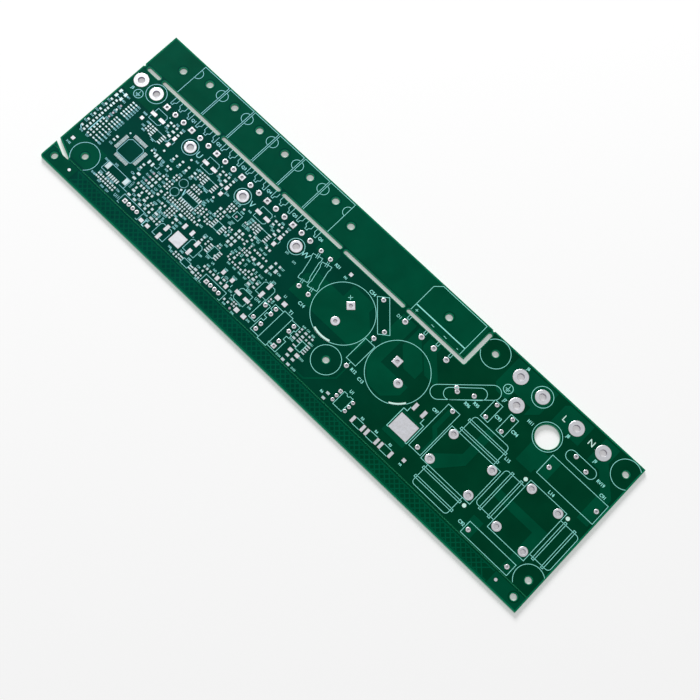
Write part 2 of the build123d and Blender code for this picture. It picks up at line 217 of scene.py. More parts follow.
@dataclass(frozen=True)
class SolderFinish:
    """A hot tin coat: bright and a little uneven."""

    name: str = "hot_tin"
    bright: Shade = Shade(246, 247, 252)
    dull: Shade = Shade(228, 230, 237)
    roughness: float = 0.38
    metal: float = 0.85
    flow_scale: float = 700.0
    flow: float = 0.35

    def material(self) -> bpy.types.Material:
        """Builds the material."""
        book = NodeBook(self.name)
        wave = book.noise(self.flow_scale, 2.0)
        colour = book.blend(book.ramp(wave, 0.3, 0.7), self.dull.linear(), self.bright.linear())
        gloss = book.ramp(wave, 0.3, 0.7, self.roughness + 0.08, self.roughness - 0.08)
        book.dress(Base_Color=colour, Roughness=gloss, Metallic=self.metal)
        book.relief(wave, self.flow, MM * 0.15)
        return book.material


@dataclass(frozen=True)
class InkFinish:
    """Printed legend: thin pale ink, cooler at the control end and greener at the mains end."""

    name: str
    control_end: Shade
    mains_end: Shade
    roughness: float = 0.7
    grain_scale: float = 1500.0
    thin: float = 0.88
    turn_start: float = -0.11
    turn_end: float = 0.0

    def material(self) -> bpy.types.Material:
        """Builds the material."""
        book = NodeBook(self.name)
        grain = book.noise(self.grain_scale)
        along = book.add("ShaderNodeSeparateXYZ", Vector=book.place()).outputs["X"]
        turn = book.ramp(along, self.turn_start, self.turn_end)
        colour = book.blend(turn, self.control_end.linear(), self.mains_end.linear())
        tone = book.add("ShaderNodeHueSaturation", Color=colour,
                        Value=book.ramp(grain, 0.35, 0.65, self.thin, 1.0))
        book.dress(Base_Color=tone.outputs["Color"], Roughness=self.roughness,
                   Specular_IOR_Level=0.3)
        book.relief(grain, 0.1, MM * 0.05)
        return book.material


@dataclass(frozen=True)
class LaminateFinish:
    """The cut edge of the glass laminate: green, with its cloth layers showing."""

    name: str
    glass: Shade
    resin: Shade
    layer: float = 0.19

    def material(self) -> bpy.types.Material:
        """Builds the material."""
        book = NodeBook(self.name)
        wave = book.add("ShaderNodeTexWave", {"bands_direction": "Z"}, Vector=book.place(),
                        Scale=1 / (self.layer * MM * 20), Distortion=0.4)
        cloth = book.add("ShaderNodeMath", {"operation": "MULTIPLY"}, i0=wave.outputs["Fac"],
                         i1=book.noise(1800.0))
        colour = book.blend(cloth.outputs[0], self.resin.linear(), self.glass.linear())
        book.dress(Base_Color=colour, Roughness=0.75)
        book.relief(book.noise(2600.0), 0.4, MM * 0.1)
        return book.material


@dataclass(frozen=True)
class FloorFinish:
    """A pale floor that the camera sees as white, with the object's shadow kept."""

    name: str = "pale_floor"
    paint: Shade = Shade(252, 252, 252)
    glow: float = 0.28

    def material(self) -> bpy.types.Material:
        """Builds the material."""
        book = NodeBook(self.name)
        book.dress(Base_Color=self.paint.linear(), Roughness=0.9, Specular_IOR_Level=0.1)
        path = book.add("ShaderNodeLightPath")
        either = book.add("ShaderNodeMath", {"operation": "MAXIMUM"},
                          i0=path.outputs["Is Camera Ray"], i1=path.outputs["Is Glossy Ray"])
        seen = book.add("ShaderNodeMath", {"operation": "MULTIPLY"},
                        i0=either.outputs[0], i1=self.glow)
        white = book.add("ShaderNodeEmission", Color=(1.0, 1.0, 1.0, 1.0), Strength=1.0)
        mix = book.add("ShaderNodeMixShader", i0=seen.outputs[0],
                       i1=book.shader.outputs["BSDF"], i2=white.outputs["Emission"])
        end = book.tree.nodes["Material Output"]
        book.tree.links.new(mix.outputs["Shader"], end.inputs["Surface"])
        return book.material


class Coat(Enum):
    """The board's finishes, each with the record's slot that it belongs to."""

    @property
    def finish(self) -> MaskFinish | SolderFinish | InkFinish | LaminateFinish:
        """What it looks like."""
        return self.value[0]

    @property
    def slot(self) -> str:
        """The record's material slot."""
        return self.value[1]

    DARK_MASK = (MaskFinish("mask_over_laminate", Shade(0, 57, 49), Shade(0, 56, 35)), "board")
    GREEN_MASK = (MaskFinish("mask_over_copper", Shade(0, 69, 51), Shade(0, 71, 48)), "board")
    # Lighter green for the strips along edges, slots and screw holes: the strips are real, but
    # their lightness is a painted glow at the cut edges.
    EDGE_GLOW_MASK = (MaskFinish("mask_at_an_edge_painted_glow", Shade(6, 106, 76), Shade(8, 106, 74)), "board")
    # Mask over the lattice lines, lighter than mask over copper elsewhere: partly the copper
    # beneath, partly a painted highlight along the raised lines.
    LATTICE_MASK_AND_HIGHLIGHT = (MaskFinish("mask_over_lattice_and_highlight", Shade(0, 75, 57), Shade(0, 77, 53)), "board")
    LAMINATE = (LaminateFinish("laminate_edge", Shade(165, 220, 196), Shade(115, 185, 155)),
                "bare_laminate")
    # The same laminate painted darker for the walls of slots and holes: painted shade, where little
    # light reaches inside the cuts.
    SHADED_CUT_LAMINATE = (LaminateFinish("laminate_in_a_cut_painted_shade", Shade(118, 190, 164), Shade(64, 146, 120)),
                    "bare_laminate")
    SCORE = (LaminateFinish("laminate_in_the_score", Shade(50, 170, 128), Shade(42, 160, 118)),
             "bare_laminate")
    TIN = (SolderFinish(), "tinned_copper")
    # Darker, duller tin for the walls of plated holes and for some test points: painted shade, as
    # little light reaches inside a narrow hole.
    SHADED_BORE = (SolderFinish("tin_in_a_hole", Shade(190, 184, 196), Shade(154, 148, 162), 0.6, 0.3),
            "tinned_copper")
    SMALL_TIN = (SolderFinish("tin_on_small_pads", Shade(222, 241, 244), Shade(204, 225, 230)),
                 "tinned_copper")
    INK = (InkFinish("legend_ink", Shade(156, 226, 238), Shade(152, 240, 229)), "legend")
    HEAVY_INK = (InkFinish("heavy_legend_ink", Shade(205, 240, 246), Shade(212, 248, 238)),
                 "legend")


class Paints:
    """The materials, each made once."""

    def __init__(self) -> None:
        """Starts with none made."""
        self.made: dict[Coat, bpy.types.Material] = {}

    def get(self, coat: Coat) -> bpy.types.Material:
        """The material of a finish, made when it is first asked for."""
        if coat not in self.made:
            self.made[coat] = coat.finish.material()
        return self.made[coat]


PAINTS = Paints()


# ---- shapes -------------------------------------------------------------------------------------


def circle_points(middle: Point, radius: float, start: float = 0.0, end: float = 360.0,
                  steps: int = 48) -> Outline:
    """Points along an arc; a full circle leaves out the doubled last point.

    Args:
        middle: The arc's centre.
        radius: Its radius.
        start: Where it starts, in degrees.
        end: Where it ends, in degrees.
        steps: How many stretches it has.

    Returns:
        The points in order.
    """
    count = steps if abs(end - start) >= 360 else steps + 1
    turns = [math.radians(start + (end - start) * i / steps) for i in range(count)]
    return [(middle[0] + radius * math.cos(t), middle[1] + radius * math.sin(t)) for t in turns]


def box_points(left: float, low: float, right: float, high: float, cut: float = 0.0,
               round_steps: int = 1) -> Outline:
    """The outline of a box, with its corners cut or rounded.

    Args:
        left: Its left side.
        low: Its lower side.
        right: Its right side.
        high: Its upper side.
        cut: How much each corner loses.
        round_steps: 1 cuts the corners straight, more rounds them.

    Returns:
        The outline, anticlockwise.
    """
    if not cut:
        return [(left, low), (right, low), (right, high), (left, high)]
    corners = [(right - cut, low + cut, -90), (right - cut, high - cut, 0),
               (left + cut, high - cut, 90), (left + cut, low + cut, 180)]
    points: Outline = []
    for x, y, turn in corners:
        points += circle_points((x, y), cut, turn, turn + 90, round_steps)
    return points


def mitred(points: Sequence[Point], shift: float, closed: bool) -> Outline:
    """A line moved sideways, with its corners mitred.

    Args:
        points: The line.
        shift: How far to its left it moves.
        closed: Whether it joins up.

    Returns:
        The moved line.
    """
    moved: Outline = []
    count = len(points)
    for i, (x, y) in enumerate(points):
        before = points[i - 1] if closed or i else None
        after = points[(i + 1) % count] if closed or i < count - 1 else None
        first = Vector((x - before[0], y - before[1])).normalized() if before else None
        second = Vector((after[0] - x, after[1] - y)).normalized() if after else None
        first, second = first or second, second or first
        side = (first + second).normalized()
        reach = shift / max(side.dot(second), 0.3)
        moved.append((x - side.y * reach, y + side.x * reach))
    return moved


def plate(loops: Sequence[Outline], low: float, high: float) -> bmesh.types.BMesh:
    """A flat plate with straight walls; loops inside the first one are holes.

    Args:
        loops: Closed outlines in panel millimetres.
        low: The height of its underside.
        high: The height of its top.

    Returns:
        The new plate.
    """
    form = bmesh.new()
    for loop in loops:
        verts = [form.verts.new((x, y, high)) for x, y in loop]
        for i, vert in enumerate(verts):
            form.edges.new((vert, verts[(i + 1) % len(verts)]))
    bmesh.ops.triangle_fill(form, use_beauty=True, use_dissolve=False, edges=form.edges[:])
    grown = bmesh.ops.extrude_face_region(form, geom=form.faces[:])["geom"]
    down = [item for item in grown if isinstance(item, bmesh.types.BMVert)]
    bmesh.ops.translate(form, verts=down, vec=(0, 0, low - high))
    bmesh.ops.recalc_face_normals(form, faces=form.faces[:])
    return form


def ribbon(points: Sequence[Point], width: float, closed: bool = False) -> list[Outline]:
    """The outlines of a line with a width.

    Args:
        points: The line's middle.
        width: How wide it is.
        closed: Whether it joins up.

    Returns:
        One outline, or an outer and an inner one where the line joins up.
    """
    left, right = mitred(points, width / 2, closed), mitred(points, -width / 2, closed)
    return [left, right] if closed else [left + right[::-1]]


def disc(middle: Point, radius: float, steps: int, high: float) -> bmesh.types.BMesh:
    """A flat round plate that stands on the laminate."""
    return plate([circle_points(middle, radius, steps=steps)], Level.FOOT.value, high)


def paint(form: bmesh.types.BMesh, index: int) -> bmesh.types.BMesh:
    """Gives all faces one of the piece's finishes.

    Args:
        form: The form.
        index: The finish's place among those of the piece.

    Returns:
        The same form.
    """
    for face in form.faces:
        face.material_index = index
    return form


def pour_in(target: bmesh.types.BMesh, source: bmesh.types.BMesh,
            matrix: Matrix | None = None) -> None:
    """Adds one form to another and frees it.

    Args:
        target: The form that grows.
        source: The form that is added.
        matrix: Where it goes, or nothing.
    """
    if matrix:
        source.transform(matrix)
    carrier = bpy.data.meshes.new("carrier")
    source.to_mesh(carrier)
    source.free()
    target.from_mesh(carrier)
    bpy.data.meshes.remove(carrier)


def finish_piece(name: str, form: bmesh.types.BMesh, coats: Sequence[Coat],
                 stands_for: Sequence[str] = ()) -> bpy.types.Object:
    """Turns a form in panel millimetres into a piece in the part's frame.

    Args:
        name: The piece's name.
        form: Its shape; it is freed.
        coats: Its finishes, in the order of its material places.
        stands_for: The CAD nodes that it replaces.

    Returns:
        The finished piece.
    """
    corner = Vector((PANEL_LOW.x, PANEL_LOW.y, PANEL_HIGH.z))
    form.transform(Matrix.Translation(corner) @ Matrix.Scale(MM, 4))
    for face in form.faces:
        face.smooth = False
    mesh = bpy.data.meshes.new(name)
    form.to_mesh(mesh)
    form.free()
    for coat in coats:
        mesh.materials.append(PAINTS.get(coat))
    piece = bpy.data.objects.new(name, mesh)
    bpy.context.collection.objects.link(piece)
    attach(piece, BODY)
    if stands_for:
        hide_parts(*stands_for)
    log.info("%s: %d faces", name, len(mesh.polygons))
    return piece


# ---- what the frame says ------------------------------------------------------------------------


@dataclass(frozen=True)
class Hole:
    """A round hole through the panel."""

    x: float
    y: float
    radius: float

    def ring(self, extra: float = 0.0) -> Outline:
        """The hole's outline, made wider by a margin."""
        steps = 16 if self.radius < 1.0 else 24 if self.radius < 2.6 else 56
        return circle_points((self.x, self.y), self.radius + extra, steps=steps)

    def is_bare(self, smallest: float = 1.55, terminal: float = 1.7) -> bool:
        """Whether it is a screw hole, with no land about it."""
        return self.radius > smallest and abs(self.radius - terminal) > 0.02


@dataclass(frozen=True)
class Land:
    """The place and size of one tinned land or pad."""

    x: float
    y: float
    width: float
    height: float
    corners: int
    turn: float

    def holds(self, hole: Hole) -> bool:
        """Whether the hole starts inside this land."""
        return abs(hole.x - self.x) < self.width / 2 and abs(hole.y - self.y) < self.height / 2


class Frame:
    """Reads the panel's outlines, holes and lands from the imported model."""

    def __init__(self) -> None:
        """Cuts the board at half its thickness and sorts what shows."""
        self.rim: Outline = []
        self.slots: list[Outline] = []
        self.holes: list[Hole] = []
        loops = sorted(self.section("board"), key=self.reach, reverse=True)
        self.rim = loops[0]
        for loop in loops[1:]:
            middle = [sum(part) / len(loop) for part in zip(*loop)]
            far = [math.dist(point, middle) for point in loop]
            if max(far) - min(far) > 0.03 * max(far):
                self.slots.append(loop)
                continue
            flat = math.cos(math.pi / len(loop)) if len(loop) < 16 else 1.0
            self.holes.append(Hole(middle[0], middle[1], max(far) * flat))

    @staticmethod
    def reach(loop: Outline) -> float:
        """The longer side of an outline's box."""
        return max(max(part) - min(part) for part in zip(*loop))

    @staticmethod
    def copy_of(node: str) -> bmesh.types.BMesh:
        """A merged copy of a CAD node in panel millimetres."""
        form = bmesh.new()
        form.from_mesh(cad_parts[node].data)
        bmesh.ops.remove_doubles(form, verts=form.verts[:], dist=1e-6)
        corner = Vector((PANEL_LOW.x, PANEL_LOW.y, PANEL_HIGH.z))
        form.transform(Matrix.Scale(1 / MM, 4) @ Matrix.Translation(-corner))
        return form

    def section(self, node: str) -> list[Outline]:
        """The closed outlines in which a level plane at half thickness cuts a node.

        Args:
            node: The CAD node's name.

        Returns:
            The outlines, without the points that lie on straight stretches.
        """
        form = self.copy_of(node)
        everything = form.verts[:] + form.edges[:] + form.faces[:]
        bmesh.ops.bisect_plane(form, geom=everything, dist=1e-5,
                               plane_co=(0, 0, -THICKNESS / 2), plane_no=(0, 0, 1),
                               clear_inner=True, clear_outer=True)
        loops: list[Outline] = []
        seen: set[bmesh.types.BMVert] = set()
        for start in form.verts:
            if start in seen:
                continue
            chain = [start]
            seen.add(start)
            while True:
                near = [edge.other_vert(chain[-1]) for edge in chain[-1].link_edges]
                ahead = [vert for vert in near if vert not in seen]
                if not ahead:
                    break
                chain.append(ahead[0])
                seen.add(ahead[0])
            loops.append(self.without_straight_points([(v.co.x, v.co.y) for v in chain]))
        form.free()
        return loops

    @staticmethod
    def without_straight_points(loop: Outline) -> Outline:
        """An outline with only the points where it turns."""
        kept: Outline = []
        for i, point in enumerate(loop):
            before = Vector(loop[i - 1]) - Vector(point)
            after = Vector(loop[(i + 1) % len(loop)]) - Vector(point)
            if abs(before.angle_signed(after, 0.0)) < math.pi - 0.02:
                kept.append(point)
        return kept

    def lands(self, node: str) -> list[Land]:
        """The separate lands or pads of a node.

        Args:
            node: The CAD node's name.

        Returns:
            One entry for each loose solid, sorted by place.
        """
        form = self.copy_of(node)
        found: list[Land] = []
        left = set(form.verts)
        while left:
            island = {left.pop()}
            front = list(island)
            while front:
                here = front.pop()
                near = {edge.other_vert(here) for edge in here.link_edges}
                fresh = [vert for vert in near if vert in left]
                left.difference_update(fresh)
                island.update(fresh)
                front += fresh
            found.append(self.measure([vert.co for vert in island]))
        form.free()
        return sorted(found, key=lambda land: (round(land.x, 2), round(land.y, 2)))

    @staticmethod
    def measure(points: list[Vector]) -> Land:
        """The place, size and corners of one loose solid."""
        low = [min(p[i] for p in points) for i in (0, 1)]
        high = [max(p[i] for p in points) for i in (0, 1)]
        middle = ((low[0] + high[0]) / 2, (low[1] + high[1]) / 2)
        far = [math.dist(middle, p[:2]) for p in points if p.z > 0]
        outer = [p for p in points if p.z > 0 and math.dist(middle, p[:2]) > 0.97 * max(far)]
        turn = math.atan2(outer[0].y - middle[1], outer[0].x - middle[0]) - math.pi / 4
        corners = len({(round(p.x, 2), round(p.y, 2)) for p in outer})
        return Land(*middle, high[0] - low[0], high[1] - low[1], corners, turn)


# ---- the panel ----------------------------------------------------------------------------------


@dataclass
class LaminatePanel:
    """The glass laminate with its mask, slots, holes and the scored line; the walls of its slots
    and holes are painted darker as shade.
    """

    plan: Frame
    score_rise: float = 8.2
    score_half_width: float = 0.2
    score_depth: float = 0.5

    def build(self) -> bpy.types.Object:
        """Builds the panel in place of the CAD board."""
        top, low = Level.LAMINATE.value, Level.BACK_LAMINATE.value
        loops = [self.plan.rim, *self.plan.slots, *(hole.ring() for hole in self.plan.holes)]
        form = plate(loops, low, top)
        for shift in (-self.score_half_width, 0.0, self.score_half_width):
            everything = form.verts[:] + form.edges[:] + form.faces[:]
            bmesh.ops.bisect_plane(form, geom=everything, dist=1e-4,
                                   plane_co=(0, self.score_rise + shift, 0), plane_no=(0, 1, 0))
        for vert in form.verts:
            if abs(vert.co.y - self.score_rise) < 1e-3:
                vert.co.z += self.score_depth if vert.co.z < (top + low) / 2 else -self.score_depth
        for face in form.faces:
            middle = face.calc_center_median()
            scored = abs(middle.y - self.score_rise) < self.score_half_width
            upright = abs(face.normal.z) < 0.5 and not scored
            outside = upright and edge_distance(self.plan.rim, middle.x, middle.y) < 0.05
            # Upright faces inside slots and holes take the darker laminate, which is painted shade;
            # the outer edge keeps the lighter one.
            face.material_index = 1 if outside else 2 if upright else 3 if scored else 0
        return finish_piece("laminate_panel", form,
                            (Coat.DARK_MASK, Coat.LAMINATE, Coat.SHADED_CUT_LAMINATE, Coat.SCORE),
                            stands_for=("board",))


@dataclass
class MaskMargins:
    """The strips of mask where the copper is held back from edges, slots and screw holes, painted a
    lighter green as a glow of light at the cut edges.
    """

    plan: Frame
    rim_width: float = 0.75
    cut_width: float = 0.4
    gap: float = 0.02

    def build(self) -> bpy.types.Object:
        """Builds the strips as one piece."""
        low, high = Level.FOOT.value, Level.MARGIN.value
        rim = self.anticlockwise(self.plan.rim)
        form = plate([mitred(rim, self.gap, True), mitred(rim, self.rim_width, True)], low, high)
        for slot in map(self.anticlockwise, self.plan.slots):
            rings = [mitred(slot, -shift, True) for shift in (self.cut_width, self.gap)]
            pour_in(form, plate(rings, low, high))
        for hole in self.plan.holes:
            if hole.is_bare():
                rings = [hole.ring(self.cut_width), hole.ring(self.gap)]
                pour_in(form, plate(rings, low, high))
        # The strips take the lighter mask, which is a painted edge glow.
        return finish_piece("mask_margin", form, (Coat.EDGE_GLOW_MASK,))

    @staticmethod
    def anticlockwise(loop: Outline) -> Outline:
        """The outline in anticlockwise order."""
        pairs = zip(loop, loop[1:] + loop[:1])
        area = sum(a[0] * b[1] - b[0] * a[1] for a, b in pairs)
        return loop if area > 0 else loop[::-1]


# ---- soldered lands and pads --------------------------------------------------------------------


@dataclass
class ThroughLands:
    """Lands with plated holes, seen on both faces, in place of the CAD lands."""

    plan: Frame
    plating: float = 0.04
    bead: float = 0.12
    pin_land: float = 2.2
    nodes: tuple[str, ...] = (
        "transistor_lands", "rectifier_lands", "motor_terminal_lands", "mains_terminal_lands",
        "earth_lands", "choke_lands", "bulk_capacitor_lands", "resistor_lands",
        "film_capacitor_lands", "surge_lands", "transformer_lands", "isolator_lands",
        "header_lands")

    def build(self) -> list[bpy.types.Object]:
        """Builds one piece for each node of lands."""
        return [self.build_node(node) for node in self.nodes]

    def build_node(self, node: str) -> bpy.types.Object:
        """Builds the lands of one node.

        Args:
            node: The CAD node that they stand for.

        Returns:
            The piece.
        """
        form = bmesh.new()
        for land in self.plan.lands(node):
            inside = [hole for hole in self.plan.holes if land.holds(hole)]
            flat = math.cos(math.pi / land.corners)
            size = max(land.width, land.height) * (flat if land.corners > 4 else 1 / 2 ** 0.5)
            if land.corners == 4 and abs(math.sin(2 * land.turn)) < 0.1:
                size = land.width
            if len(inside) > 1:
                size = self.pin_land
            for hole in inside:
                eyelet = self.eyelet(hole.radius, size / 2, land.corners == 4, land.turn)
                pour_in(form, eyelet, Matrix.Translation((hole.x, hole.y, 0)))
        return finish_piece(node.replace("_lands", "_land_tin"), form, (Coat.TIN, Coat.SHADED_BORE),
                            stands_for=(node,))

    def eyelet(self, hole: float, land: float, square: bool,
               turn: float) -> bmesh.types.BMesh:
        """One land on each face, joined by the plating of its hole.

        Args:
            hole: The drilled hole's radius.
            land: Half the land's width.
            square: Whether the lands are square.
            turn: How far a square land is turned, in radians.

        Returns:
            The closed form about the hole's axis.
        """
        bore, wall = hole - self.plating, hole + 0.01
        top, low = Level.TIN.value, Level.BACK.value
        profile = [
            (wall, Level.FOOT.value), (land, Level.FOOT.value),
            (land, top - 0.05), (land - self.bead, top), (bore + self.bead, top),
            (bore, top - self.bead), (bore, low + self.bead), (bore + self.bead, low),
            (land - self.bead, low), (land, low + 0.03),
            (land, Level.BACK_LAMINATE.value + 0.01), (wall, Level.BACK_LAMINATE.value + 0.01)]
        form = bmesh.new()
        verts = [form.verts.new((radius, 0, height)) for radius, height in profile]
        edges = [form.edges.new((vert, verts[(i + 1) % len(verts)]))
                 for i, vert in enumerate(verts)]
        steps = 24 if land < 2 else 40
        bmesh.ops.spin(form, geom=verts + edges, cent=(0, 0, 0), axis=(0, 0, 1),
                       angle=math.tau, steps=steps, use_merge=True)
        if square:
            for vert in form.verts:
                angle = math.atan2(vert.co.y, vert.co.x)
                if vert.co.xy.length > wall + 0.1 + self.bead:
                    vert.co.xy *= 1 / max(abs(math.cos(angle)), abs(math.sin(angle)))
            form.transform(Matrix.Rotation(turn, 4, "Z"))
        bmesh.ops.recalc_face_normals(form, faces=form.faces[:])
        for face in form.faces:
            middle = face.calc_center_median()
            # Faces inside the hole take the darker tin, which is painted shade in the bore.
            face.material_index = 1 if middle.xy.length < hole else 0
        return form


def pad_form(width: float, height: float, corner: float = 0.07,
             edge: float = 0.035) -> bmesh.types.BMesh:
    """One flat pad with a softened top.

    Args:
        width: Its size along x.
        height: Its size along y.
        corner: How far its upright corners are taken off.
        edge: How far its upper edges are taken off.

    Returns:
        The closed form about its middle.
    """
    top, low = Level.TIN.value, Level.FOOT.value
    form = bmesh.new()
    middle = Matrix.Translation((0, 0, (top + low) / 2))
    size = Matrix.Diagonal((width, height, top - low, 1))
    bmesh.ops.create_cube(form, size=1, matrix=middle @ size)
    upright = [side for side in form.edges
               if abs(side.verts[0].co.z - side.verts[1].co.z) > (top - low) / 2]
    bmesh.ops.bevel(form, geom=upright, offset=min(corner, height / 4, width / 4), segments=1,
                    profile=0.5, affect="EDGES", material=-1)
    upper = [side for side in form.edges if all(vert.co.z > top - 1e-4 for vert in side.verts)]
    bmesh.ops.bevel(form, geom=upper, offset=edge, segments=1, profile=0.5, affect="EDGES",
                    material=-1)
    return form


@dataclass
class FlatPads:
    """The tinned pads of the surface-mounted parts, in place of the CAD pads."""

    plan: Frame
    nodes: tuple[str, ...] = (
        "controller_pads", "gate_driver_pads", "logic_pads", "converter_pads",
        "tab_transistor_pads", "electrolytic_pads", "diode_pads", "shunt_pads",
        "connector_pads", "crystal_pads", "ceramic_capacitor_pads", "fiducials")
    small: tuple[str, ...] = (
        "controller_pads", "gate_driver_pads", "logic_pads", "converter_pads",
        "ceramic_capacitor_pads", "crystal_pads", "connector_pads")
    mark_rim: float = 0.1

    def build(self) -> list[bpy.types.Object]:
        """Builds one piece for each node of pads."""
        return [self.build_node(node) for node in self.nodes]

    def build_node(self, node: str) -> bpy.types.Object:
        """Builds the pads of one node.

        Args:
            node: The CAD node that they stand for.

        Returns:
            The piece.
        """
        form = bmesh.new()
        for pad in self.plan.lands(node):
            if pad.corners > 4:
                radius = pad.height / 2 - self.mark_rim
                pour_in(form, disc((pad.x, pad.y), radius, 20, Level.TIN.value))
            else:
                pour_in(form, pad_form(pad.width, pad.height),
                        Matrix.Translation((pad.x, pad.y, 0)))
        coat = Coat.SMALL_TIN if node in self.small else Coat.TIN
        return finish_piece(node.replace("_pads", "_pad_tin").replace("fiducials", "mark_tin"),
                            form, (coat,), stands_for=(node,))


# ---- the field of small chips -------------------------------------------------------------------


@dataclass(frozen=True)
class Bank:
    """Small parts of one kind that lie the same way, with where each label stands."""

    letter: str
    places: Sequence[Point]
    span: float = 1.8
    turn: float = 0.0
    pad: Point = (0.95, 0.95)
    label: Point | None = None
    label_turn: float = 0.0
    linked: bool = False


@dataclass(frozen=True)
class Triple:
    """The pads of a three-lead part: one alone, and two on the other side."""

    x: float
    y: float
    turn: float = 0.0
    scale: float = 1.0


@dataclass(frozen=True)
class Mark:
    """A printed letter with a number beside a small part."""

    letter: str
    x: float
    y: float
    length: int = 3
    height: float = 0.95
    turn: float = 0.0


def column(x: float, *heights: float) -> list[Point]:
    """Places one above the other."""
    return [(x, y) for y in heights]


def line(y: float, *lefts: float) -> list[Point]:
    """Places side by side."""
    return [(x, y) for x in lefts]


SENSE_BANKS = (
    Bank("C", column(3.75, 48.2, 45.3), 3.1, 0, (1.3, 1.8), (3.4, 0), linked=True),
    Bank("R", column(7.8, 33.0, 31.0, 29.0, 27.1, 25.1, 23.1), 1.75, 0, (1.0, 0.95)),
    Bank("R", column(11.6, 48.1, 46.5, 45.0, 43.5, 42.0, 40.5), 1.85, 0, (1.05, 0.78), (2.75, 0),
         linked=True),
    Bank("C", column(11.6, 37.6, 36.1, 34.6, 32.9, 29.0, 27.0, 25.0, 23.1), 1.85, 0,
         (1.05, 0.78), (2.75, 0), linked=True),
    Bank("C", column(11.6, 31.0), 1.85, 0, (1.05, 0.78), (2.2, -0.7), 90),
)
LOGIC_BANKS = (
    Bank("C", column(17.9, 30.2), 2.0, 90, (1.0, 1.4), (0, -3.2)),
    Bank("C", column(36.4, 29.25), 1.9, 90, (1.0, 1.3), (0, -2.3)),
    Bank("C", column(38.1, 24.0), 2.8, 90, (1.2, 1.8), (-2.3, -0.2)),
    Bank("R", line(37.6, 34.8), 1.8, 0, (0.95, 0.95), (-0.2, 1.2)),
    Bank("R", line(37.3, 45.55), 1.9, 0, (1.1, 1.1), (0, -1.8)),
    Bank("C", column(45.55, 30.4, 28.0, 25.6), 2.0, 0, (1.1, 1.4), (3.4, 0)),
    Bank("R", line(32.6, 47.8), 2.0, 0, (1.1, 1.0), (-0.2, 1.3)),
    Bank("R", column(51.45, 37.1, 35.5, 32.7, 31.0, 29.5), 1.65, 0, (0.95, 0.9)),
    Bank("C", column(51.4, 25.7), 2.0, 90, (1.1, 1.3)),
    Bank("R", line(42.7, 43.8, 47.9, 51.85, 55.9), 2.0, 90, (1.0, 1.2), (0, -2.3)),
    Bank("R", line(38.65, 59.6, 61.1, 62.7, 64.2), 1.35, 90, (0.9, 0.85)),
    Bank("R", line(27.5, 53.8, 55.7, 57.4, 58.9, 60.4, 61.9, 63.4, 64.9, 66.6, 68.1, 69.5, 71.0),
         1.4, 90, (0.9, 0.8)),
    Bank("R", column(69.65, 34.2, 32.7, 31.2), 1.7, 0, (0.9, 0.9)),
    Bank("R", column(72.0, 34.2), 1.65, 90, (0.9, 0.9)),
    Bank("C", column(74.0, 32.75), 1.7, 90, (0.9, 0.9), (0.1, 2.4)),
    Bank("C", column(76.4, 31.9, 30.5), 1.7, 0, (0.9, 0.9)),
    Bank("R", line(44.2, 78.2, 79.6, 81.2), 1.5, 90, (0.95, 0.9), (0, 3.0), 90),
    Bank("C", column(79.4, 41.9), 1.7, 0, (0.9, 1.0)),
    Bank("R", line(37.2, 76.2, 78.0, 79.7), 1.5, 90, (0.9, 0.9)),
    Bank("C", column(77.4, 39.95), 2.4, 0, (1.3, 1.3)),
    Bank("R", column(86.3, 36.3), 1.5, 0, (0.85, 0.9), (0.6, -1.4)),
    Bank("R", column(86.8, 33.5), 1.8, 0, (0.9, 0.9), (0.1, -1.1)),
    Bank("C", column(90.85, 33.5, 31.1), 2.1, 0, (1.3, 1.5)),
    Bank("C", column(90.9, 38.3, 36.1), 2.1, 0, (1.3, 1.4)),
    Bank("R", column(89.5, 43.1), 1.2, 0, (0.75, 0.8)),
    Bank("R", column(83.6, 24.05), 1.7, 90, (0.9, 0.9), (-0.1, 2.55)),
    Bank("C", column(81.0, 24.2), 1.6, 90, (0.9, 1.1), (0, 1.9)),
    Bank("R", line(26.4, 88.85), 1.3, 0, (0.8, 0.9), (0, 1.3)),
    Bank("R", column(98.9, 36.4), 1.2, 90, (0.85, 0.8), (0, 1.7)),
    Bank("R", column(97.4, 33.4), 1.3, 90, (0.85, 0.8), (-1.5, -0.8)),
    Bank("R", column(98.9, 33.4), 1.3, 90, (0.85, 0.8), (0.1, -2.5), 90),
    Bank("R", column(97.4, 30.2), 1.35, 90, (0.85, 0.8), (-1.9, 0.2)),
    Bank("R", column(95.0, 27.0), 1.5, 90, (0.85, 0.8), (0, 1.9)),
)
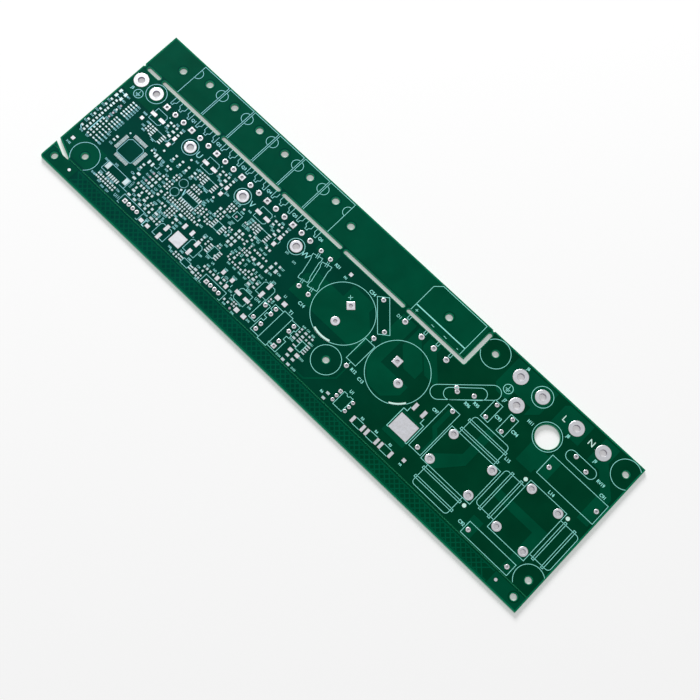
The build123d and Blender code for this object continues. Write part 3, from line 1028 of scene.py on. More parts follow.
POWER_BANKS = (
    Bank("C", line(16.85, 42.3, 45.8, 49.3), 2.85, 90, (1.1, 1.7), (1.7, 0)),
    Bank("R", line(12.3, 25.1, 26.4, 27.9, 29.4, 30.9, 32.4, 33.9, 35.4), 1.6, 90, (0.9, 0.95)),
    Bank("R", column(53.6, 17.8, 15.75), 2.55, 0, (1.2, 1.15)),
    Bank("R", column(53.0, 19.5), 1.2, 0, (0.75, 0.8), (0.4, 1.1)),
    Bank("C", column(57.7, 16.05), 3.1, 90, (1.1, 1.9), (0, 0)),
    Bank("R", line(15.2, 59.6, 61.6), 1.6, 90, (0.9, 0.95), (0, 2.5), 90),
    Bank("R", line(24.3, 60.0, 61.6, 63.1), 1.5, 90, (0.9, 0.9), (0, 1.9)),
    Bank("R", line(21.35, 60.0, 61.6, 63.1), 1.45, 90, (0.9, 0.9)),
    Bank("C", column(66.0, 23.45), 2.9, 90, (1.2, 1.9)),
    Bank("R", column(77.9, 11.2, 9.8), 1.7, 0, (0.9, 0.9)),
    Bank("C", column(89.2, 10.65), 1.9, 90, (1.15, 1.7), (0, 2.75)),
    Bank("R", column(92.05, 11.2, 9.7), 1.5, 0, (0.9, 0.9)),
    Bank("R", column(91.85, 15.5), 1.7, 0, (1.0, 1.1), (0.05, 1.4)),
    Bank("R", column(95.6, 15.5), 2.0, 0, (1.0, 1.1), (0, 1.8)),
    Bank("C", column(101.7, 16.05), 2.1, 90, (0.95, 1.3), (0, 2.5)),
    Bank("C", column(100.5, 33.45), 1.75, 90, (1.0, 1.3)),
    Bank("R", column(103.85, 36.7), 1.5, 0, (1.0, 1.1)),
    Bank("R", column(107.6, 36.7), 1.85, 0, (0.9, 1.0)),
    Bank("C", column(105.1, 41.3), 2.0, 0, (1.1, 1.2), (-2.0, 0.9)),
    Bank("C", column(113.7, 38.95), 2.6, 0, (1.1, 1.2), (2.9, 0)),
    Bank("C", column(113.6, 36.15), 2.9, 0, (1.4, 1.9), (3.5, 0)),
    Bank("C", column(99.2, 27.75), 3.6, 0, (1.2, 1.2)),
    Bank("R", column(97.4, 25.7), 1.9, 0, (0.9, 0.9), (0, -1.6)),
    Bank("R", column(100.9, 25.7), 1.8, 0, (0.9, 0.9), (0, -1.6)),
    Bank("R", column(104.2, 25.7), 1.6, 0, (0.9, 0.9), (0, -1.6)),
    Bank("R", column(107.5, 25.7), 2.0, 0, (0.9, 0.9), (0, -1.6)),
    Bank("C", column(113.35, 25.1), 2.2, 90, (0.95, 1.4), (0, 2.3)),
    Bank("R", column(109.15, 11.0), 2.1, 0, (1.0, 1.1), (0.2, -1.7)),
    Bank("R", column(112.75, 13.0, 11.6), 1.35, 0, (0.85, 0.85)),
    Bank("C", column(122.8, 24.8), 1.4, 90, (0.85, 0.9), (1.5, 0.3), 90),
    Bank("R", column(142.4, 24.5), 1.6, 90, (0.9, 1.0), (0, 2.1)),
    Bank("C", column(145.0, 24.05), 2.1, 90, (1.05, 1.5), (0, 2.65)),
    Bank("R", column(148.1, 25.1), 1.8, 0, (1.0, 0.95), (0, 1.3)),
    Bank("R", column(148.1, 23.0), 1.8, 0, (1.0, 0.95), (2.3, 0)),
    Bank("C", column(142.5, 21.0), 2.0, 90, (1.0, 1.6), (0, -2.4)),
)
PHASE_BANKS = (
    Bank("C", [(-14.8, 1.2)], 2.0, 90, (0.95, 1.35), (0.2, -2.3)),
    Bank("R", [(-11.8, 2.0)], 1.9, 0, (1.0, 1.15), (0, 1.5)),
    Bank("C", [(-10.9, -1.6)], 2.6, 90, (1.1, 1.7), (-2.0, -0.6)),
    Bank("R", [(-8.0, 1.0)], 2.0, 90, (0.95, 1.35), (0, 2.4)),
    Bank("R", [(-20.2, -5.0), (-20.2, -6.4), (-20.2, -7.9)], 1.5, 0, (0.9, 0.85)),
)
TRIPLES = (
    *(Triple(3.3, y) for y in (42.4, 38.9, 35.4, 31.9, 28.0, 24.1)),
    *(Triple(x, 21.1, 90, 0.97) for x in (42.2, 45.75, 49.3)),
    Triple(56.8, 21.9, 90, 0.95), Triple(73.5, 28.05, -90, 0.95), Triple(107.5, 28.7, -90, 0.95),
    Triple(95.9, 40.1, 0, 0.9), Triple(94.8, 36.4, 0, 0.9),
)
PHASE_MARKS = ((-26.5, -3.0), (-22.5, -5.0), (-23.1, -7.6), (-21.3, -9.2), (-14.7, -9.9))
SMALL_MARKS = (
    # control end
    (1.8, 41.1), (1.5, 37.7), (1.4, 34.0), (1.8, 30.4), (1.7, 26.7), (3.9, 21.8), (7.8, 21.8),
    (7.8, 41.8), (7.8, 39.2), (7.8, 36.7), (7.8, 34.2),
    (22.5, 46.2), (21.9, 43.6), (23.5, 42.0), (34.6, 38.8), (41.3, 37.5), (42.0, 35.5),
    (44.3, 32.2), (51.5, 34.1), (51.8, 38.4), (22.8, 20.1), (27.9, 21.4),
    (25.5, 14.0), (29.9, 14.1), (32.4, 14.1), (37.4, 13.1), (28.0, 10.3), (30.8, 9.5),
    (33.9, 9.5), (54.9, 13.8),
    # logic
    (55.7, 45.6), (66.1, 49.4), (61.7, 40.9), (65.5, 40.9), (70.6, 39.8), (69.4, 38.4),
    (68.9, 36.7), (69.3, 35.7), (69.4, 29.8), (76.4, 35.5), (76.4, 33.6), (76.0, 27.7),
    (54.6, 25.4), (57.2, 25.4), (59.6, 25.4), (84.2, 37.8), (84.8, 38.9), (84.6, 45.5),
    (90.2, 46.2), (90.2, 44.8), (92.2, 41.4), (90.7, 29.2), (88.8, 27.7), (98.4, 41.2),
    (100.2, 49.1), (103.1, 38.9), (105.8, 38.6), (102.8, 31.3), (105.8, 31.9), (114.1, 33.5),
    (112.4, 46.1), (117.8, 45.0), (118.3, 31.9),
    # supply
    (57.7, 18.9), (57.2, 12.7), (58.9, 19.5), (61.2, 19.5), (54.1, 22.7), (53.8, 20.8),
    (68.2, 25.0), (68.5, 22.1), (64.6, 22.9), (68.1, 19.9), (68.1, 18.4), (78.8, 13.1),
    (73.5, 10.9), (75.2, 9.9), (83.8, 13.0), (85.9, 17.6), (88.8, 19.4), (81.0, 25.3),
    (92.4, 8.6), (107.3, 15.3), (110.3, 13.0), (122.6, 11.1), (115.1, 8.7), (114.8, 13.7),
    (118.8, 15.7), (98.9, 21.1), (104.4, 21.1), (110.8, 22.3), (110.8, 25.0), (151.8, 15.1),
    (143.2, 9.5), (152.4, 9.5), (136.9, 11.0),
)
WIDE_MARKS = (
    (18.4, 48.2), (4.2, 13.7), (42.5, 23.8), (45.6, 23.8), (49.0, 23.8), (73.3, 46.8),
    (81.3, 39.6), (23.3, 11.3), (41.6, 30.4), (41.6, 28.0), (41.6, 25.6), (112.1, 29.7),
    (113.5, 21.4),
)
UPRIGHT_MARKS = ((39.7, 20.6), (39.7, 18.7), (72.0, 30.3), (109.3, 29.5), (103.4, 28.9))
BIG_MARKS = ((38.9, 10.8), (113.2, 21.2), (90.0, 41.5), (118.8, 20.9))


@dataclass
class ChipField:
    """Pads of the small chips, three-lead parts and test points, which only stand here."""

    plan: Frame
    triple_reach: float = 1.1
    triple_rise: float = 0.95
    triple_pad: Point = (1.25, 1.0)
    lone_pads: tuple[Point, ...] = (
        (72.0, 31.9), (105.0, 27.0), (102.8, 33.5), (101.3, 36.7), (110.8, 28.3), (91.9, 13.4))
    lone_pad: Point = (0.95, 0.95)
    test_points: tuple[Point, ...] = (
        (7.8, 40.2), (37.9, 41.5), (70.0, 41.4), (49.9, 47.1), (57.2, 33.6), (84.0, 47.1),
        (66.0, 19.8), (118.5, 17.3), (100.9, 29.7), (94.0, 46.4), (61.5, 14.2), (90.6, 22.2))
    # These test points are painted in the darker tin: painted shade standing for a small hole in
    # each.
    shaded_points: tuple[Point, ...] = (
        (7.8, 42.9), (7.8, 38.0), (7.8, 35.5), (84.05, 42.2), (112.8, 9.6), (42.8, 30.4),
        (42.8, 28.0), (42.8, 25.6))
    test_point_radius: float = 0.55
    marks: list[Mark] = field(default_factory=list)
    links: list[Outline] = field(default_factory=list)

    def phases(self) -> list[Point]:
        """The middles of the motor terminals."""
        return [(land.x, land.y) for land in self.plan.lands("motor_terminal_lands")]

    def build(self) -> list[bpy.types.Object]:
        """Builds a piece for each zone of the field."""
        zones = {"sense": SENSE_BANKS, "logic": LOGIC_BANKS, "power": POWER_BANKS}
        made = []
        for name, banks in zones.items():
            form = bmesh.new()
            for bank in banks:
                self.lay(form, bank, bank.places)
            made.append(finish_piece(f"{name}_chip_pad_tin", form, (Coat.SMALL_TIN,)))
        form = bmesh.new()
        for x, y in self.phases():
            for bank in PHASE_BANKS:
                self.lay(form, bank, [(x + dx, y + dy) for dx, dy in bank.places])
        made.append(finish_piece("phase_chip_pad_tin", form, (Coat.SMALL_TIN,)))
        made.append(self.build_triples())
        made.append(self.build_test_points())
        return made

    def lay(self, form: bmesh.types.BMesh, bank: Bank, places: Iterable[Point]) -> None:
        """Adds both pads of each chip, and notes its label.

        Args:
            form: The form that grows.
            bank: The kind of chip.
            places: The chips' middles.
        """
        along = Matrix.Rotation(math.radians(bank.turn), 4, "Z")
        for x, y in places:
            for side in (-0.5, 0.5):
                reach = along @ Vector((side * bank.span, 0, 0))
                spot = Matrix.Translation((x + reach.x, y + reach.y, 0))
                pour_in(form, pad_form(*bank.pad), spot @ along)
            if bank.label:
                spot = (x + bank.label[0], y + bank.label[1])
                self.marks.append(Mark(bank.letter, *spot, turn=bank.label_turn))
            if bank.linked:
                self.links.append([(x - bank.span / 2, y), spot])

    def build_triples(self) -> bpy.types.Object:
        """Builds the pads of the three-lead parts, and the pads that stand alone."""
        form = bmesh.new()
        for part in TRIPLES:
            turn = Matrix.Rotation(math.radians(part.turn), 4, "Z")
            place = Matrix.Translation((part.x, part.y, 0)) @ turn @ Matrix.Diagonal(
                (part.scale, part.scale, 1, 1))
            for across, up in ((-1, 0), (1, 1), (1, -1)):
                spot = (across * self.triple_reach, up * self.triple_rise, 0)
                pour_in(form, pad_form(*self.triple_pad), place @ Matrix.Translation(spot))
        for spot in self.lone_pads:
            pour_in(form, pad_form(*self.lone_pad), Matrix.Translation((*spot, 0)))
        return finish_piece("three_lead_pad_tin", form, (Coat.SMALL_TIN,))

    def build_test_points(self) -> bpy.types.Object:
        """Builds the round test points, some of them painted darker as the shade of a small hole.
        """
        form = bmesh.new()
        for spot in (*self.test_points, *self.shaded_points):
            point = disc(spot, self.test_point_radius, 16, Level.TIN.value)
            pour_in(form, paint(point, 1 if spot in self.shaded_points else 0))
        return finish_piece("test_point_tin", form, (Coat.SMALL_TIN, Coat.SHADED_BORE))


# ---- copper under the mask ----------------------------------------------------------------------


def inside(outline: Outline, x: float, y: float) -> bool:
    """Whether a point lies in an outline."""
    crossings = 0
    for (ax, ay), (bx, by) in zip(outline, outline[1:] + outline[:1]):
        if (ay > y) != (by > y) and x < ax + (y - ay) / (by - ay) * (bx - ax):
            crossings += 1
    return crossings % 2 == 1


def edge_distance(outline: Outline, x: float, y: float) -> float:
    """How far a point is from the nearest side of an outline."""
    best = math.inf
    for start, end in zip(outline, outline[1:] + outline[:1]):
        a, b = Vector(start), Vector(end)
        run = b - a
        part = max(0.0, min(1.0, (Vector((x, y)) - a).dot(run) / max(run.length_squared, 1e-9)))
        best = min(best, (Vector((x, y)) - a - run * part).length)
    return best


@dataclass
class CopperPours:
    """Broad copper under the mask on the component face, held back from the screw holes."""

    plan: Frame
    hold_back: float = 1.0
    under_land: float = 0.2
    strip_low: float = 67.0
    edge_gap: float = 0.75

    def outlines(self) -> list[Outline]:
        """The pours' outlines, from the strip above the slots to the break-off rail."""
        gap = self.edge_gap
        right, top = LENGTH - gap, WIDTH - gap
        strip = box_points(gap, self.strip_low, 201.6, top)
        return [
            strip,
            box_points(gap + 0.6, gap, 17.6, 7.4), box_points(275.6, gap, right, 7.4),
            # control end: screw corner and earth terminals
            [(gap, 13.6), (9.6, 9.4), (21.6, 9.4), (21.6, 21.4), (gap, 21.4)],
            [(gap, 50.2), (19.6, 50.2), (19.6, 63.4), (gap, 63.4)],
            # power stages
            [(119.8, 56.6), (130.6, 56.6), (130.6, 61.8), (129.0, 63.4), (119.8, 63.4)],
            [(125.0, 34.3), (166.4, 34.3), (166.4, 44.2), (158.0, 52.0), (158.0, 56.4),
             (144.5, 56.4), (144.5, 49.4), (129.0, 49.4), (125.0, 45.4)],
            [(137.6, 9.4), (158.6, 9.4), (169.0, 19.8), (169.0, 28.3), (168.2, 28.3),
             (168.2, 20.2), (158.2, 10.2), (137.6, 10.2)],
            # rectifier to the capacitors
            [(169.2, 62.6), (177.4, 62.6), (177.4, 39.2), (193.8, 39.2), (193.8, 34.0),
             (187.7, 27.8), (179.7, 27.8), (171.8, 35.7), (171.8, 45.0), (169.2, 47.6)],
            [(178.9, 62.8), (183.8, 62.8), (183.8, 58.8), (193.4, 49.2), (193.4, 44.0),
             (186.5, 44.0), (178.9, 51.6)],
            [(185.6, 62.8), (192.2, 62.8), (192.2, 59.6), (202.4, 49.4), (202.4, 48.2),
             (195.2, 48.2), (185.6, 57.8)],
            # tab transistor and damper
            box_points(198.4, 17.6, 210.8, 30.4),
            [(213.4, 34.0), (217.2, 30.2), (217.2, 22.6), (219.0, 22.6), (219.0, 31.4),
             (215.6, 34.8), (215.6, 45.0), (213.4, 45.0)],
            # first choke's run
            [(231.2, 51.6), (231.2, 34.4), (220.2, 24.0), (220.2, 19.8), (225.8, 19.8),
             (235.6, 31.4), (235.6, 51.6)],
            # earth and line terminals
            [(219.6, 68.6), (222.6, 65.6), (228.6, 65.6), (228.6, 70.6), (238.4, 70.6),
             (238.4, 66.0), (243.4, 71.0), (243.4, 84.0), (219.6, 84.0)],
            [(248.8, 72.4), (264.6, 72.4), (264.6, 84.0), (250.6, 84.0), (248.8, 82.2)],
            [(271.4, 84.0), (271.4, 71.0), (278.2, 71.0), (285.0, 64.2), (285.0, 48.6),
             (291.0, 48.6), (291.0, 64.6), (279.6, 76.0), (279.6, 84.0)],
            # second choke's run
            [(249.0, 49.0), (258.0, 49.0), (258.0, 51.6), (265.0, 51.6), (265.0, 61.2),
             (258.6, 61.2), (258.6, 60.0), (249.0, 60.0)],
            [(252.0, 30.2), (275.6, 30.2), (275.6, 9.4), (280.8, 9.4), (280.8, 34.6),
             (252.0, 34.6)],
            box_points(252.6, 9.4, 258.2, 18.4),
        ]

    def build(self) -> bpy.types.Object:
        """Builds the pours as one piece."""
        form = bmesh.new()
        for outline in self.outlines():
            cuts = []
            for hole in self.plan.holes:
                extra = self.hold_back if hole.is_bare() else self.under_land
                away = edge_distance(outline, hole.x, hole.y)
                if inside(outline, hole.x, hole.y) and away > hole.radius + extra + 0.1:
                    cuts.append(hole.ring(extra))
                elif away < hole.radius + 0.1:
                    log.warning("a pour's edge crosses the hole at %.1f, %.1f", hole.x, hole.y)
            pour_in(form, plate([outline, *cuts], Level.FOOT.value, Level.COPPER.value))
        return finish_piece("copper_pours", form, (Coat.GREEN_MASK,))


@dataclass
class RailLattice:
    """Crossed copper lines in the break-off rail, which balance the copper of the panel."""

    left: float = 18.2
    right: float = 275.0
    low: float = 1.2
    high: float = 6.9
    pitch: float = 3.0
    width: float = 0.55
    sink: float = 0.01
    crossing_lift: float = 0.002

    def build(self) -> bpy.types.Object:
        """Builds the lattice and its border."""
        form = bmesh.new()
        rise = self.high - self.low
        count = int((self.right - self.left - rise) / self.pitch)
        for i in range(count + 1):
            start = self.left + i * self.pitch
            for way, first, last in ((1, self.low, self.high), (-1, self.high, self.low)):
                ends = [(start, first), (start + rise, last)]
                self.stroke(form, ends, self.crossing_lift * way)
        for y in (self.low, self.high):
            self.stroke(form, [(self.left, y), (self.right, y)], 0.0)
        # The lines take the lighter mask, which carries a painted highlight.
        return finish_piece("rail_lattice", form, (Coat.LATTICE_MASK_AND_HIGHLIGHT,))

    def stroke(self, form: bmesh.types.BMesh, ends: Outline, lift: float) -> None:
        """Adds one straight line of copper, lifted a little where lines cross."""
        top = Level.COPPER.value - self.sink + lift
        pour_in(form, plate(ribbon(ends, self.width), Level.FOOT.value, top))


@dataclass
class Tracks:
    """Fine copper tracks under the mask between the small parts, each to a small hole."""

    chips: ChipField
    seed: int = 7
    width: float = 0.22
    via_radius: float = 0.34
    bend: float = 0.7
    shortest: float = 1.4
    longest: float = 4.2
    slope: float = 0.4
    track_sink: float = 0.012
    via_sink: float = 0.004

    def build(self) -> list[bpy.types.Object]:
        """Builds the tracks and the masked lands of their holes."""
        chance = random.Random(self.seed)
        tracks, vias = bmesh.new(), bmesh.new()
        for bank in (*SENSE_BANKS, *LOGIC_BANKS, *POWER_BANKS):
            for x, y in bank.places:
                along = Vector((1, 0)) if bank.turn == 0 else Vector((0, 1))
                side = chance.choice((-1, 1))
                across = Vector((-along.y, along.x)) * side
                start = Vector((x, y)) + along * bank.span / 2 * side
                length = chance.uniform(self.shortest, self.longest)
                turn = start + across * self.bend + along * side * self.bend
                end = turn + across * length * self.slope
                path = [tuple(start), tuple(turn), tuple(end)]
                pour_in(tracks, plate(ribbon(path, self.width), Level.FOOT.value,
                                      Level.COPPER.value - self.track_sink))
                pour_in(vias, disc(tuple(end), self.via_radius, 10,
                                   Level.COPPER.value - self.via_sink))
        return [finish_piece("copper_tracks", tracks, (Coat.GREEN_MASK,)),
                finish_piece("masked_vias", vias, (Coat.GREEN_MASK,))]


# ---- printed legend -----------------------------------------------------------------------------


@dataclass(frozen=True)
class Label:
    """A designator, with its place and the height of its capitals."""

    body: str
    x: float
    y: float
    height: float = 1.5


@dataclass
class Pen:
    """Prints lines, rings and letters as thin raised ink."""

    width: float = 0.24
    heavy_from: float = 0.9
    label_heavy: float = 0.05
    label_squeeze: float = 0.9
    capital: float = 0.7
    low: float = Level.FOOT.value
    high: float = Level.INK.value
    form: bmesh.types.BMesh = field(default_factory=bmesh.new)

    def line(self, points: Outline, width: float | None = None, closed: bool = False) -> None:
        """Prints a line through points.

        Args:
            points: Its corners.
            width: Its width, or nothing for the usual one.
            closed: Whether it joins up.
        """
        width = width or self.width
        stroke = plate(ribbon(points, width, closed), self.low, self.high)
        pour_in(self.form, paint(stroke, 1 if width > self.heavy_from else 0))

    def box(self, left: float, low: float, right: float, high: float, cut: float = 0.0,
            width: float | None = None) -> None:
        """Prints a box, with its corners rounded by cut."""
        self.line(box_points(left, low, right, high, cut, 6), width, closed=True)

    def ring(self, middle: Point, radius: float, width: float | None = None) -> None:
        """Prints a full circle."""
        steps = 72 if radius > 8 else 48 if radius > 3 else 28
        self.line(circle_points(middle, radius, steps=steps), width, closed=True)

    def arc(self, middle: Point, radius: float, start: float, end: float,
            width: float | None = None) -> None:
        """Prints part of a circle, from one angle to another in degrees."""
        steps = max(4, int(abs(end - start) / 360 * (72 if radius > 8 else 44)))
        self.line(circle_points(middle, radius, start, end, steps), width)

    def dot(self, middle: Point, radius: float) -> None:
        """Prints a filled disc in the heavy ink."""
        pour_in(self.form, paint(disc(middle, radius, 24, self.high), 1))

    def stadium(self, ends: Outline, radius: float) -> None:
        """Prints the outline of a bar with round ends.

        Args:
            ends: The middles of its two round ends.
            radius: Half its width.
        """
        (ax, ay), (bx, by) = ends
        turn = math.degrees(math.atan2(by - ay, bx - ax))
        first = circle_points((bx, by), radius, turn - 90, turn + 90, 16)
        second = circle_points((ax, ay), radius, turn + 90, turn + 270, 16)
        self.line(first + second, closed=True)

    def text(self, body: str, middle: Point, height: float = 1.3, turn: float = 0.0,
             heavy: float = 0.0, squeeze: float = 1.0, bright: bool = False) -> None:
        """Prints letters about a point.

        Args:
            body: The letters.
            middle: The point that they are centred on.
            height: The height of a capital.
            turn: How far they are turned, in degrees.
            heavy: How much each stroke is thickened.
            squeeze: How narrow the letters are set.
            bright: Whether they are printed in the heavy ink.
        """
        curve = bpy.data.curves.new("letters", "FONT")
        curve.body = body
        curve.align_x, curve.align_y = "CENTER", "CENTER"
        curve.size = height / self.capital
        curve.resolution_u = 3
        curve.offset = heavy
        curve.extrude = (self.high - self.low) / 2
        holder = bpy.data.objects.new("letters", curve)
        mesh = bpy.data.meshes.new_from_object(holder)
        place = Matrix.Translation((*middle, (self.high + self.low) / 2))
        mesh.transform(place @ Matrix.Rotation(math.radians(turn), 4, "Z")
                       @ Matrix.Diagonal((squeeze, 1, 1, 1)))
        for face in mesh.polygons:
            face.material_index = 1 if bright else 0
        self.form.from_mesh(mesh)
        bpy.data.objects.remove(holder)
        bpy.data.curves.remove(curve)
        bpy.data.meshes.remove(mesh)

    def labels(self, labels: Iterable[Label]) -> None:
        """Prints the larger designators."""
        for label in labels:
            self.text(label.body, (label.x, label.y), label.height, heavy=self.label_heavy,
                      squeeze=self.label_squeeze)

    def finish(self, name: str) -> bpy.types.Object:
        """Ends the print as one piece."""
        bmesh.ops.remove_doubles(self.form, verts=self.form.verts[:], dist=1e-5)
        return finish_piece(name, self.form, (Coat.INK, Coat.HEAVY_INK))


@dataclass
class DeviceLegend:
    """Outlines of the power transistors and the rectifier, across the slots."""

    plan: Frame
    half_width: float = 7.75
    low: float = 66.4
    high: float = 84.6
    notch_rise: float = 79.7
    notch_radius: float = 2.5
    lead_low: float = 60.2
    lead_step: float = 62.0
    lead_high: float = 64.1
    label_height: float = 1.4
    rectifier: tuple[float, float] = (170.0, 199.7)
    rectifier_cut: float = 3.1
    rectifier_bar: float = 70.0

    def build(self) -> bpy.types.Object:
        """Prints the outlines."""
        pen = Pen()
        leads = self.plan.lands("transistor_lands")
        for number in range(len(leads) // 3):
            middle = leads[number * 3 + 1].x
            self.device(pen, middle)
            for side, lead in zip((-1, 0, 1), leads[number * 3:number * 3 + 3]):
                self.lead(pen, lead.x, side)
            pen.text(f"Q{number + 1}", (middle + 8.2, self.lead_low + 1.2), self.label_height,
                     heavy=0.04)
        self.rectifier_legend(pen)
        return pen.finish("device_legend")

    def device(self, pen: Pen, middle: float) -> None:
        """Prints one transistor's body, open at the slot.

        Args:
            pen: The pen.
            middle: The middle of the body.
        """
        left, right = middle - self.half_width, middle + self.half_width
        pen.line([(left, self.low), (left, self.high), (right, self.high), (right, self.low)])
        pen.arc((left, self.notch_rise), self.notch_radius, -90, 90)
        pen.arc((right, self.notch_rise), self.notch_radius, 90, 270)

    def lead(self, pen: Pen, x: float, side: int) -> None:
        """Prints one lead's outline, stepped in towards its land.

        Args:
            pen: The pen.
            x: The lead's middle.
            side: -1 for the left lead, 0 for the middle, 1 for the right.
        """
        broad, narrow, foot, slant = 1.67, 0.65, 0.5, 0.7
        stepped = [(broad, self.lead_high), (broad, self.lead_step),
                   (narrow, self.lead_step - slant), (narrow, self.lead_low)]
        plain = [(foot, self.lead_high), (foot, self.lead_low)]
        left = [(x - dx, y) for dx, y in (plain if side < 0 else stepped)]
        right = [(x + dx, y) for dx, y in (plain if side > 0 else stepped)]
        pen.line(left + right[::-1])

    def rectifier_legend(self, pen: Pen) -> None:
        """Prints the rectifier's body, its leads and their marks."""
        left, right = self.rectifier
        cut = self.rectifier_cut
        pen.line([(left, self.low), (left, self.high - cut), (left + cut, self.high),
                  (right, self.high), (right, self.low)])
        pen.line([(left, self.rectifier_bar), (right, self.rectifier_bar)], 0.5)
        for lead, mark in zip(self.plan.lands("rectifier_lands"), "+~~-"):
            pen.line([(lead.x - 0.6, self.lead_high), (lead.x - 0.6, 62.2),
                      (lead.x + 0.6, 62.2), (lead.x + 0.6, self.lead_high)], 0.22)
            pen.text(mark, (lead.x, 67.7), 2.2)
        pen.text("D1", (left - 1.2, 60.1), 1.5)


@dataclass
class TerminalLegend:
    """Rings and letters about the terminals, the post hole and the panel's screws."""

    plan: Frame
    motor_ring: float = 3.97
    earth_ring: float = 4.95
    screw_ring: float = 6.9
    post_ring: float = 6.75
    letter: float = 2.9
    score_rise: float = 8.6

    def build(self) -> bpy.types.Object:
        """Prints the rings and letters."""
        pen = Pen()
        for land, name in zip(self.plan.lands("motor_terminal_lands"), "UVW"):
            pen.ring((land.x, land.y), self.motor_ring)
            pen.text(name, (land.x + 5.7, land.y), self.letter)
        earth = self.plan.lands("earth_lands")
        for land in earth[1:]:
            pen.ring((land.x, land.y), self.earth_ring)
        mains = self.plan.lands("mains_terminal_lands")
        for land, name in zip(mains[-2:], "LN"):
            pen.text(name, (land.x - 6.6, land.y - 0.4), self.letter, heavy=0.02, bright=True)
        self.earth_symbol(pen, (8.8, 52.9))
        self.earth_symbol(pen, (225.8, 70.0))
        post = max(self.plan.holes, key=lambda hole: hole.radius)
        pen.ring((post.x, post.y), self.post_ring)
        self.screw_rings(pen)
        pen.labels((
            Label("J5", 4.7, 53.3, 1.4), Label("J6", 226.2, 83.1), Label("J7", 228.2, 65.0),
            Label("H11", 243.0, 65.6), Label("J8", 258.8, 72.7), Label("J9", 274.7, 72.7)))
        return pen.finish("terminal_legend")

    def screw_rings(self, pen: Pen) -> None:
        """Prints the keep-clear circles, cut off by the edges, the slot and the score line."""
        radius = self.screw_ring
        right = LENGTH - 0.5
        for hole in self.plan.holes:
            if abs(hole.radius - 1.6) > 0.02 or hole.y < self.score_rise:
                continue
            turns = [t for t in range(0, 363, 3)
                     if self.shows(hole.x + radius * math.cos(math.radians(t)),
                                   hole.y + radius * math.sin(math.radians(t)), right)]
            if len(turns) > 120:
                pen.ring((hole.x, hole.y), radius)
                continue
            gaps = [i for i, t in enumerate(turns) if i and t - turns[i - 1] > 3]
            starts = [turns[i] for i in [0, *gaps]]
            stops = [turns[i - 1] for i in gaps] + [turns[-1]]
            if starts[0] == 0 and stops[-1] == 360 and len(starts) > 1:
                starts, stops = starts[1:], [*stops[1:-1], stops[0] + 360]
            for start, stop in zip(starts, stops):
                pen.arc((hole.x, hole.y), radius, start, stop)

    def shows(self, x: float, y: float, right: float) -> bool:
        """Whether a point of a circle lies on the panel, clear of the slots and the score."""
        near_slot = any(edge_distance(slot, x, y) < 0.4 or inside(slot, x, y)
                        for slot in self.plan.slots)
        past_slot = x < 204.8 and y > 66
        return y > self.score_rise and x < right and not near_slot and not past_slot

    @staticmethod
    def earth_symbol(pen: Pen, middle: Point) -> None:
        """Prints the protective earth symbol.

        Args:
            pen: The pen.
            middle: The symbol's centre.
        """
        x, y = middle
        pen.ring(middle, 2.2, 0.28)
        pen.line([(x, y + 1.6), (x, y - 0.2)], 0.25)
        for half, drop in ((1.3, 0.2), (0.85, 0.75), (0.4, 1.3)):
            pen.line([(x - half, y - drop), (x + half, y - drop)], 0.25)


